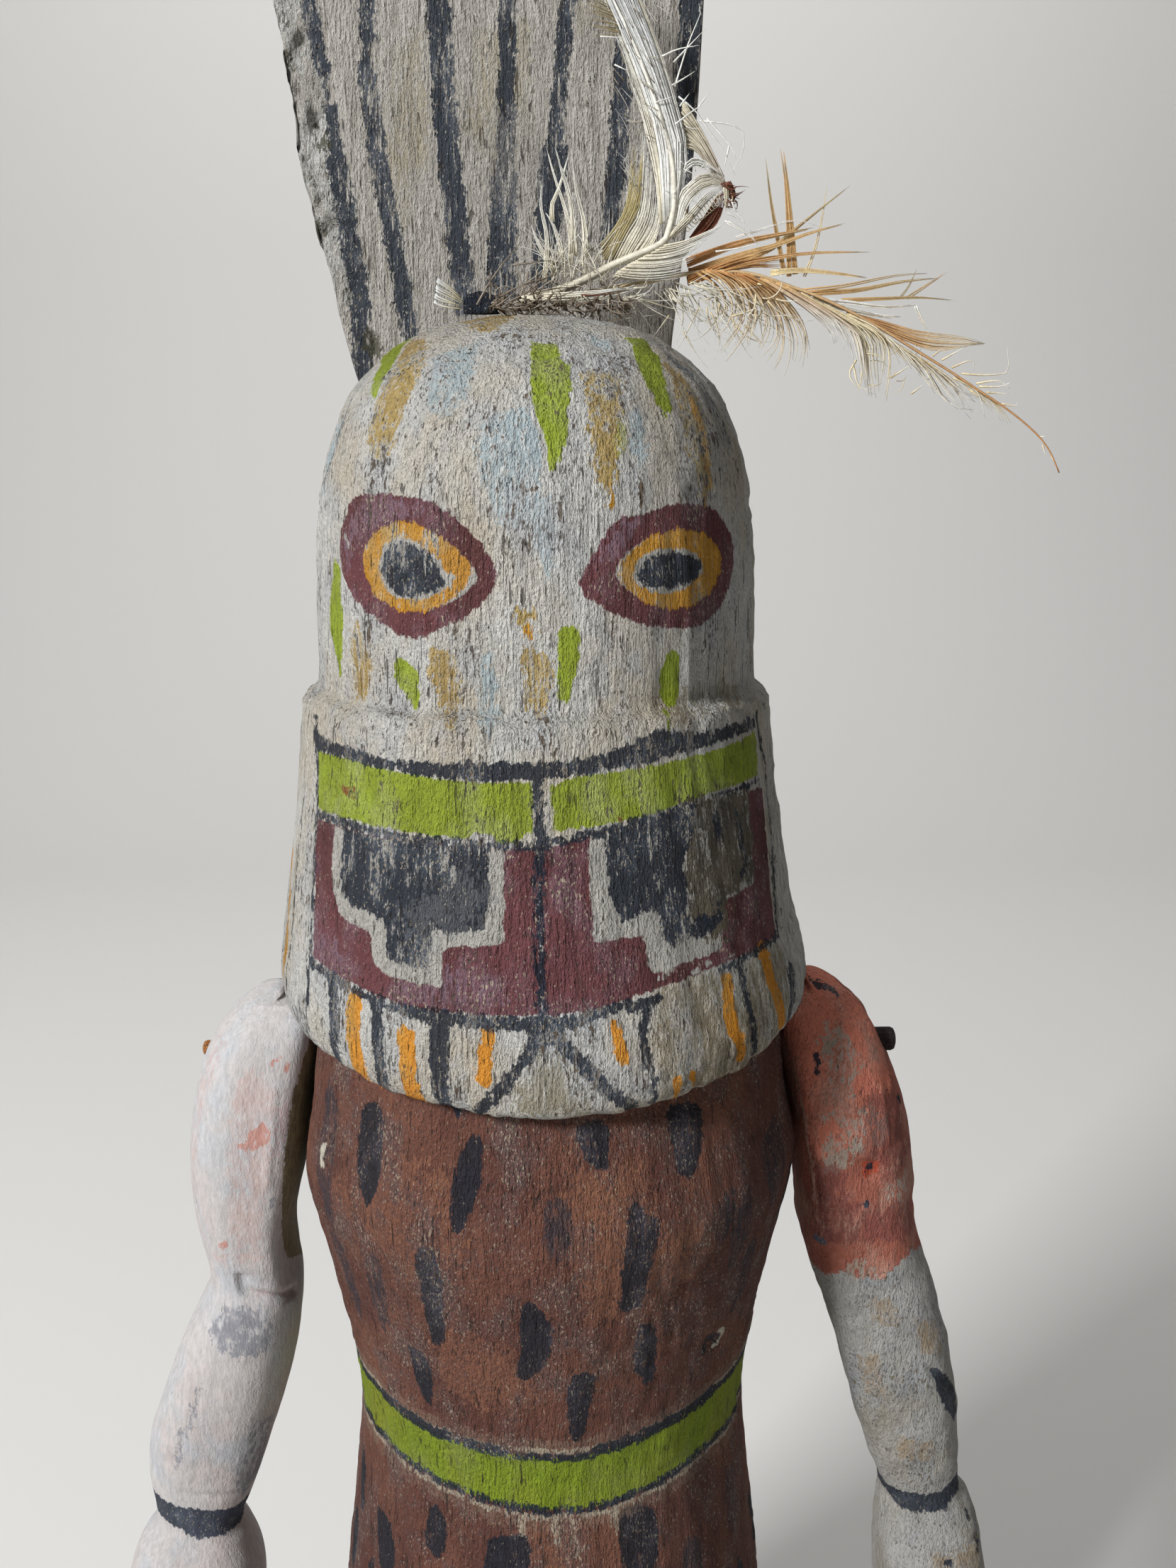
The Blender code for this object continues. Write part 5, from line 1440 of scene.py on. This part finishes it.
# Barbs above the shaft: places, width and the two colours.
TAN_BLADES = [
    ([(48.8, 428), (47.2, 434.5), (45.6, 441.4), (44.3, 449.1)], 0.8, (TAN, OLIVE)),
    ([(49.7, 427.6), (49.2, 436.3), (48.3, 444.9), (47, 451)], 0.8, (TAN, TAN)),
    ([(50.9, 428), (49.9, 436.3), (48.8, 444), (47.6, 451)], 0.9, (TAN, TAN)),
    ([(37, 429), (45.4, 432.2), (49.5, 435.4), (54, 438.9), (61.1, 444.3)], 0.8, (TAN, OLIVE)),
    ([(31, 428.6), (39.9, 431.4), (46.8, 433.2), (53.2, 435.4), (60.5, 437.3)], 1.1, (TAN, TAN)),
    ([(29.6, 430), (33.9, 431.6), (39.9, 433.6), (46.7, 435), (54.1, 436.3)], 1.5, (ORANGE, TAN)),
    ([(30, 428.4), (37.7, 429.3), (44.5, 430.6), (53.7, 431.8), (65.3, 432)], 1.1, (ORANGE, TAN)),
    ([(46, 428.2), (51.5, 428.7), (58.5, 428.1), (65, 427.2)], 1.0, (STRAW, TAN)),
    ([(52.6, 425), (60.9, 425.9), (70.1, 427.7), (77.6, 428.2)], 0.5, (TAN, OLIVE)),
    ([(53.5, 424.5), (62.8, 425), (71.6, 426.6), (79, 427.3)], 0.9, (TAN, OLIVE)),
    ([(71.7, 423.7), (73.2, 425.9), (74.5, 429.2)], 0.3, (OLIVE, OLIVE)),
    ([(73.1, 423.7), (76.7, 426), (80.6, 428.6)], 0.45, (OLIVE, TAN)),
    ([(60.1, 423.2), (68, 423.5), (75, 423.7), (82.5, 423.1)], 0.7, (TAN, OLIVE)),
    ([(54.5, 423.2), (61, 422.8), (68.1, 421.9), (74.8, 422.2)], 0.9, (PEARL, WHITE)),
    ([(74.8, 422.2), (76.1, 419.3), (77.2, 417.3)], 0.4, (WHITE, STRAW)),
    ([(58.2, 422.4), (63.4, 421), (68.1, 420.2), (71.9, 420)], 0.9, (PEARL, WHITE)),
    ([(54.5, 423.8), (60, 422), (66, 420.6), (70, 419.6)], 0.7, (WHITE, PEARL)),
    ([(52.7, 427.6), (54.6, 432.8), (55.8, 439.3), (56.4, 444.7)], 0.4, (STRAW, STRAW)),
    ([(39.1, 434.7), (43.5, 436), (50.3, 437.8), (55.4, 436.5)], 0.3, (WHITE, WHITE)),
    ([(37.5, 437.5), (41.2, 435.4), (43.3, 433.2)], 0.4, (WHITE, WHITE)),
]
TAN_VANE = [
    [(61.1, 421), (68.6, 419.3), (75.3, 417.5), (84.3, 416.4), (88.6, 415.1)],
    [(63.9, 420.2), (70.6, 417.5), (77.7, 415.3), (88.6, 414.9)],
    [(65.8, 418.8), (73, 415.7), (79.2, 413.7), (85.8, 414.7)],
]
TAN_ROOT_FAN = [[(29.8, 427.5), (34, 429.3), (38.5, 431), (43.6, 432.8)],
                [(30, 426), (36, 428.6), (42, 430.4), (48, 430.8)],
                [(34.5, 427.5), (38.6, 428.8), (43.6, 429.4), (50, 428.6)]]
TAN_TIP_FAN = [[(80, 411), (84, 408.4), (88, 404)], [(90, 405), (93, 402.6), (95, 399.6)]]
# Barbs below the shaft, from the root outward: curled ones, pale ones, thin ones, and those at the tip.
TAN_CURLED = [
    [(31.2, 428), (34.5, 425.8), (36.4, 423), (36, 419.6), (34.2, 418.3)],
    [(33.5, 428.6), (37.2, 426.7), (39.6, 423.6), (40.2, 420), (38.6, 417), (36.3, 413.8)],
    [(35.4, 428.4), (39.1, 426.7), (41.7, 423.6), (42.5, 420), (40.7, 416), (37.1, 411.4)],
    [(36.8, 428.2), (40.5, 426.5), (43.3, 423.2), (44.1, 419.2), (43.5, 415)],
    [(38.1, 428), (42.3, 425.8), (45.7, 422.3), (47.4, 418.8), (47.3, 415.2), (44.1, 412)],
    [(39.5, 428), (44.2, 425.4), (47.6, 421.4), (48.9, 417), (49.2, 412.5), (48.2, 409)],
    [(40.9, 427.8), (46.1, 424.9), (49.9, 421), (52.8, 417), (53.4, 414.3), (51.9, 408.5)],
    [(42.3, 427.6), (48, 424.1), (51.8, 420), (53.6, 416), (54.1, 414.3)],
]
TAN_PALE = [
    [(43.7, 427.1), (49.8, 423.6), (54.6, 420.1), (57.5, 417), (58.7, 414.8)],
    [(46, 426.5), (51.7, 423.2), (56.5, 420), (58.9, 417.5), (59, 415.2)],
    [(47.9, 425.8), (54.5, 422.3), (60.2, 418.8), (62.7, 416.6), (63.2, 414.4), (64.4, 408)],
    [(50.3, 425), (57.4, 421), (62.6, 417.5), (64.8, 414.8), (65.3, 409.4), (66, 405)],
    [(52.6, 424.1), (60.2, 420.1), (65.5, 416.6), (66, 414.4), (66.2, 410), (67.9, 404.5)],
    [(54.5, 423.2), (62.1, 419.3), (67.3, 416.6), (68.5, 412.6), (67.8, 407.2)],
    [(57.3, 421.9), (64.9, 418.4), (68.8, 415.7), (70.1, 412.1), (69.5, 404)],
]
TAN_THIN = [
    [(61.1, 420.6), (66.8, 418), (70.2, 414.8), (73.7, 412.2)],
    [(63, 419.7), (68.8, 416.6), (72.2, 413.1), (75.7, 409.5), (78.2, 405.8)],
    [(66.8, 417.5), (72.2, 413.9), (77.1, 410), (79.6, 406.3), (82.2, 403.1), (87, 402.2)],
    [(69.7, 415.7), (75.5, 412.2), (80.5, 408.1), (84, 404.5), (85.7, 399.5)],
    [(73.6, 413.5), (79.5, 409.5), (82.9, 406.3), (87.3, 404)], [(77.9, 411.3), (82.8, 408.1), (86.3, 405)],
]
TAN_TIP_BARBS = [
    [(78.5, 412.7), (80.2, 413.9), (81.1, 413.2)], [(80.3, 411.9), (84.7, 414.4)],
    [(82.4, 410.5), (86.3, 411.9), (86.6, 409.7)],
    [(84.4, 409.4), (88.5, 409.1), (92.9, 409.4), (93.7, 410.5), (93, 414.4)],
    [(87.5, 407.5), (91.8, 408), (94.2, 406.4)], [(88.1, 406.9), (92.1, 406.9), (94.6, 407.9)],
    [(89.6, 405.8), (94, 405.5)], [(92.9, 403.6), (95.6, 403.2), (95.7, 404)],
    [(100.7, 397.1), (101.8, 397.4)], [(101.6, 395.7), (102.1, 393.6)], [(103.6, 393.4), (103.8, 392.6)],
    [(82.8, 408.6), (87.7, 405.9), (89.4, 400.9)], [(86.3, 406.3), (90.7, 403.1), (92.6, 400.4)],
    [(70.3, 408.5), (74.4, 411.2)], [(74.6, 405.5), (77, 407.4)],
    [(63.4, 412), (62, 409), (64.4, 406.4), (67.4, 406.6)], [(62.8, 411), (64, 407), (67, 405.4)],
]
BROKEN = [
    [(-2.9, 422.9), (5, 423.4), (9.3, 423.8), (15.7, 424.6), (20.8, 425.6)],
    [(0, 422.3), (5, 422), (9.3, 422.1), (15.7, 422.8), (21, 424.8)],
]
TORN_ROOT = [[(-19.4, 422.4), (-18, 421.6), (-14, 421.2)], [(-18.6, 427), (-16, 425.4), (-13.4, 423)]]
DOWN_STRAYS = [
    [(20.7, 423.1), (27.3, 421.2), (32, 420.9)], [(28.9, 417.2), (31.7, 412.7), (33.7, 410.3)],
    [(26.2, 420.1), (23.1, 416)], [(28.8, 423.5), (28.9, 417.2)], [(32, 421.6), (29, 415.7), (26.6, 412.3)],
    [(11.4, 421.9), (14.1, 419), (18.8, 419.5)], [(14.1, 419), (23.4, 420.1)],
]
ROOT_TWIGS = [
    [(-4, 429), (-0.9, 429.3), (3.5, 429.8)], [(-11, 421.7), (-8.4, 425.9), (-5.2, 430), (-2, 433.5)],
    [(-3.2, 421.6), (-1.6, 425.3), (1.7, 426.4), (5.2, 427.8)],
    [(-8.2, 421.9), (-5.3, 423.9), (-1.4, 425.6), (1.4, 426.6)],
    [(-1.2, 427.9), (-1.4, 425.3), (-2.3, 423.6)], [(-8.4, 422.7), (-8.4, 428)],
    [(-2.1, 423.6), (3.4, 427.3), (5.5, 428.1)], [(-6, 421), (2, 424.4), (9, 425)],
    [(-4, 420.8), (4, 422.6), (12, 423.8)],
]


def feather(name, barbs, shade, *nodes):
    mesh = barbs.mesh(name)
    slot = "tan_feather" if name.startswith("tan") else "white_feather"
    piece(name, mesh, feather_material(name.replace("_", " "), shade), slot, *nodes)


# Loose strands here and below: how many, their middle, its reach, their length, heading and spread in
# degrees, depth, width, colours and curl.
UPRIGHT_LOOSE = [
    (80, (9, 428), (6, 2.4), 9, 98, 22, -5.0, 0.24, (CREAM, WHITE), 0.4),
    (18, (29, 447), (3, 7), 3, 30, 50, -6.8, 0.18, (WHITE, WHITE)),
    (46, (22, 458), (4, 16), 6, 112, 14, -7.4, 0.17, (ASH, WHITE), 0.3),
    (26, (20, 464), (4, 14), 5, 128, 18, -7.2, 0.2, (DUST, CREAM), 0.3),
    (22, (37.2, 442), (1, 2.2), 2.6, -10, 60, -5.8, 0.28, (RUST, SOOT)),
    (14, (30, 438), (2.4, 1.6), 1.6, 200, 40, -6.2, 0.2, (SOOT, STRAW)),
]
TAN_LOOSE = [
    (30, (40, 422), (7, 4), 9, -60, 30, -4.8, 0.34, (STRAW, WHITE), 0.6),
    (16, (72, 411), (9, 4), 4, -60, 45, -4.2, 0.2, (STRAW, STRAW), 0.9),
]
DOWN_LOOSE = [
    (40, (32, 425), (8, 1.6), 15, -42, 24, -5, 0.28, (CREAM, WHITE), 0.3),
    (30, (23, 424), (9, 1.6), 9, -30, 30, -6, 0.28, (CREAM, WHITE), 0.4),
    (70, (4, 422), (13, 1.2), 5, 10, 60, -8, 0.34, (DUST, SOOT), 1.0),
    (70, (5, 421.6), (13, 1), 1.8, 10, 90, -9, 0.8, (DUST, srgb(96, 84, 68)), 0.6),
    (40, (4, 421), (12, 1), 7, -10, 30, -12, 0.26, (ASH, DUST), 0.7),
    (50, (6, 424.6), (10, 1.6), 7, 30, 40, -7, 0.22, (ASH, CREAM), 0.9),
]
# How ragged each kind of vane is, and how far its barbs spread in depth.
VANE_KINDS = {"webbed": (0.14, 0.5), "open": (0.14, 0.5), "brush": (0.5, 0.8)}


def build_upright_feather():
    barbs = Barbs(5)
    barbs.lay(UPRIGHT_QUILL, -6.9, 1.6, (CREAM, WHITE), steps=60, flat=0.8, drift=0.6)
    for kind, y, drift, count, width, colours, guides in UPRIGHT_VANES:
        ragged, spread = VANE_KINDS[kind]
        barbs.fan(guides, count, y, width, colours, drift=drift, ragged=ragged, spread=spread)
        if kind == "webbed":
            barbs.web(guides, y + 0.35, colours, drift=drift)
    for places in UPRIGHT_SPIKES:
        barbs.bundle(places, -5.4, 0.7, (CREAM, WHITE), count=3, drift=1.0)
    for places in UPRIGHT_STRAYS:
        barbs.lay(places, -7.0, 0.34, (WHITE, WHITE), drift=-0.6, flat=0.8)
    for k in range(14):
        x = 28.6 + 0.5 * k
        places = [(x, 436 + 0.5 * k), (x + 0.9, 435.4 + 0.42 * k), (x + 1.6, 436 + 0.4 * k)]
        barbs.lay(places, -6.0, 0.2, (STRAW, CREAM), drift=0.6)
    for loose in UPRIGHT_LOOSE:
        barbs.strays(*loose)
    barbs.bundle(KNOT, -6.2, 1.7, (RUST, SOOT), count=5)
    feather("upright_feather", barbs, DUST, "feather_upright")


def build_tan_feather():
    barbs = Barbs(9)
    barbs.lay(TAN_RACHIS, -3.9, 0.9, (STRAW, ORANGE), steps=64, flat=0.9, drift=-1.0, tip=0.3)
    for places, width, colours in TAN_BLADES:
        barbs.bundle(places, -3.4, width, colours, count=2 if width < 0.6 else 6, drift=-1.4)
    barbs.fan(TAN_VANE, 15, -3.6, 0.32, (ORANGE, STRAW), drift=-0.6, ragged=0.06)
    barbs.fan(TAN_ROOT_FAN, 44, -3.2, 0.4, (ORANGE, TAN), ragged=0.5, spread=2.6)
    barbs.fan(TAN_CURLED, 27, -4.2, 0.52, (TAN, CREAM), drift=-1.6, spread=2.0, steps=12)
    barbs.fan(TAN_CURLED[1:], 14, -3.2, 0.4, (TAN, WHITE), ragged=0.4, spread=2.0, steps=12)
    short_guides = [guide[:3] for guide in TAN_CURLED]
    barbs.fan(short_guides, 34, -4.4, 0.36, (ORANGE, TAN), drift=-1, ragged=0.7, spread=1.4)
    barbs.web([TAN_PALE[k][:3] for k in (0, 1, 3, 5)], -3.6, (TAN, WHITE), drift=-1)
    barbs.fan(TAN_PALE[:4], 20, -4.4, 0.66, (TAN, WHITE), drift=-1.4, spread=1.4, steps=12)
    barbs.fan(TAN_PALE[2:], 22, -4.0, 0.52, (STRAW, CREAM), drift=-1.4, spread=1.6, ragged=0.25, steps=12)
    short_guides = [TAN_PALE[3][:4], TAN_PALE[5][:4], TAN_THIN[1][:4], TAN_THIN[2][:3], TAN_THIN[4][:3],
                    TAN_THIN[5]]
    barbs.fan(short_guides, 60, -3.6, 0.34, (TAN, STRAW), drift=-0.8, spread=1.6, ragged=0.7)
    barbs.fan(TAN_THIN, 30, -4.2, 0.46, (STRAW, WHITE), drift=-1.2, spread=1.6, ragged=0.3, steps=11)
    for places in TAN_TIP_BARBS:
        barbs.lay(places, -4.2, 0.4, (STRAW, WHITE), drift=-0.6)
    barbs.fan(TAN_TIP_FAN, 14, -4.0, 0.24, (STRAW, STRAW), ragged=0.6)
    for loose in TAN_LOOSE:
        barbs.strays(*loose)
    feather("tan_feather_body", barbs, srgb(150, 110, 70), "feather_tan")


def build_broken_feather():
    barbs = Barbs(13)
    barbs.fan(BROKEN, 14, -9, 0.46, (CREAM, WHITE), ragged=0.3, spread=0.8)
    barbs.bundle([(2, 423), (10, 423.6), (18, 424.6)], -9.4, 0.9, (CREAM, WHITE), count=3)
    barbs.lay([(9, 423.2), (14, 423.4), (19, 424.4)], -9.8, 0.28, (RUST, RUST))
    barbs.lay([(19, 424.6), (21.4, 424.8), (21.2, 426.2), (19.6, 426)], -9.4, 0.4, (CREAM, DUST))
    barbs.strays(16, (12, 422.6), (8, 0.6), 2.4, -30, 60, -9.4, 0.24, (CREAM, DUST))
    feather("broken_feather", barbs, DUST, "feather_broken")


def build_down_tuft():
    """The torn down at the feathers' root, its loose strands, twigs and dirt."""
    barbs = Barbs(17)
    barbs.fan(TORN_ROOT, 11, -4, 0.42, (PEARL, YELLOW), ragged=0.4, spread=1.6)
    for places in DOWN_STRAYS:
        barbs.lay(places, -5, 0.3, (STRAW, WHITE), drift=-1)
    for places in ROOT_TWIGS:
        barbs.lay(places, -7, 0.42, (ASH, DUST), drift=-0.6, flat=0.9)
    for loose in DOWN_LOOSE:
        barbs.strays(*loose)
    feather("down_and_twigs", barbs, srgb(96, 84, 70), "down_tuft")


# The foot lump's rings: height and half-sizes across and along.
FOOT_LUMP = [(420.4, 3.8, 1.6), (421.4, 3.8, 1.7), (422.4, 3.4, 1.5), (423.4, 2.6, 1.1), (424, 1.2, 0.6),
             (424.2, 0.1, 0.1)]


def build_foot_lump():
    """The black-painted lump at the board's foot."""
    turn = np.linspace(0, 2 * math.pi, 28, endpoint=False)
    rows = []
    for height, half_x, half_y in FOOT_LUMP:
        level = height + 0.5 * np.sin(turn * 2 + 1) * (height > 422)
        rows.append(np.column_stack([-10.2 + half_x * np.cos(turn), -3.4 + half_y * np.sin(turn), level]))
    points = np.stack(rows)[::-1]
    points[..., 0] += 0.6 * ripple(points, 1.6, 91)
    points[..., 1] += 0.4 * ripple(points, 2.4, 92)
    mesh = grid_mesh("foot_lump", points[:, ::-1], cap_ends=True)
    keep_field(mesh, "dark", 2.0)
    films = [layer for layer in FIGURE_FILMS if layer["fills"] == "dark"]
    piece("foot_lump", mesh, painted_wood("blackened lump", WOOD, films), "painted_wood")


def build_feathers():
    build_upright_feather()
    build_tan_feather()
    build_broken_feather()
    build_down_tuft()
    build_foot_lump()


# -------- the rest of the frame's own pieces
def coat(name, material):
    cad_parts[name].data.materials.clear()
    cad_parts[name].data.materials.append(material)


def finish_cad_pieces():
    coat("peg_left", painted_wood("dark peg end", ((92, 78, 76), (52, 42, 42)), [], fine=1600.0, stretch=1.0))
    coat("peg_right", painted_wood("orange peg end", ((206, 140, 84), (150, 92, 54)), [], stretch=1.0))
    coat("base", painted_wood("bare base wood", ((168, 150, 126), (122, 104, 84)), [], fine=700.0,
                              stretch=0.3, bare_specks=0.1))


# -------- studio
CAMERA_AT, CAMERA_LENS = (0, -0.2961, 0.390), 32.94
CAMERA_DIP, CAMERA_TURN = 12.2, -2.05    # degrees below level, and round towards the doll's left


def build_stage():
    """A pale floor that sweeps up into a pale backdrop."""
    paper, _, shader = new_material("pale floor")
    shader.inputs["Base Color"].default_value = (0.66, 0.65, 0.63, 1)
    shader.inputs["Roughness"].default_value = 0.9
    half, back, bend, top = 7.0, 1.1, 0.7, 6.0
    profile = [(-8.0, 0.0)] + [(back + bend * math.sin(t), bend * (1 - math.cos(t)))
                               for t in np.linspace(0, math.pi / 2, 16)] + [(back + bend, top)]
    corners = [(x, y, z) for y, z in profile for x in (-half, half)]
    faces = [(2 * i, 2 * i + 1, 2 * i + 3, 2 * i + 2) for i in range(len(profile) - 1)]
    mesh = bpy.data.meshes.new("floor")
    mesh.from_pydata(corners, [], faces)
    mesh.shade_smooth()
    mesh.materials.append(paper)
    floor = bpy.data.objects.new("floor", mesh)
    bpy.context.scene.collection.objects.link(floor)


def soft_light(name, place, aim, size, power, colour):
    light = bpy.data.lights.new(name, "AREA")
    light.size = size
    light.energy = power
    light.color = colour
    lamp = bpy.data.objects.new(name, light)
    lamp.location = place
    lamp.rotation_euler = (Vector(aim) - Vector(place)).to_track_quat("-Z", "Y").to_euler()
    bpy.context.scene.collection.objects.link(lamp)


def build_studio():
    scene = bpy.context.scene
    camera = bpy.data.cameras.new("camera")
    camera.lens = CAMERA_LENS
    camera.sensor_width = 36
    camera.clip_start = 0.01
    holder = bpy.data.objects.new("camera", camera)
    holder.location = CAMERA_AT
    holder.rotation_euler = (math.radians(90 - CAMERA_DIP), 0, math.radians(CAMERA_TURN))
    scene.collection.objects.link(holder)
    scene.camera = holder
    build_stage()
    soft_light("key", (-0.93, -0.91, 1.10), (0, 0, 0.34), 0.28, 31, (0.98, 0.99, 1.0))
    soft_light("fill", (0.9, -1.2, 0.5), (0, 0, 0.3), 0.9, 0.2, (0.92, 0.96, 1.0))
    soft_light("backdrop glow", (0, 0.55, 1.9), (0, 1.75, 0.75), 1.2, 20, (1.0, 1.0, 1.0))
    world = bpy.data.worlds.new("studio")
    world.use_nodes = True
    world.node_tree.nodes["Background"].inputs["Color"].default_value = (0.88, 0.90, 0.93, 1)
    world.node_tree.nodes["Background"].inputs["Strength"].default_value = 0.11
    scene.world = world
    scene.view_settings.view_transform = "Standard"


build_figure()
build_boots()
build_arms()
build_board()
build_feathers()
finish_cad_pieces()
build_studio()
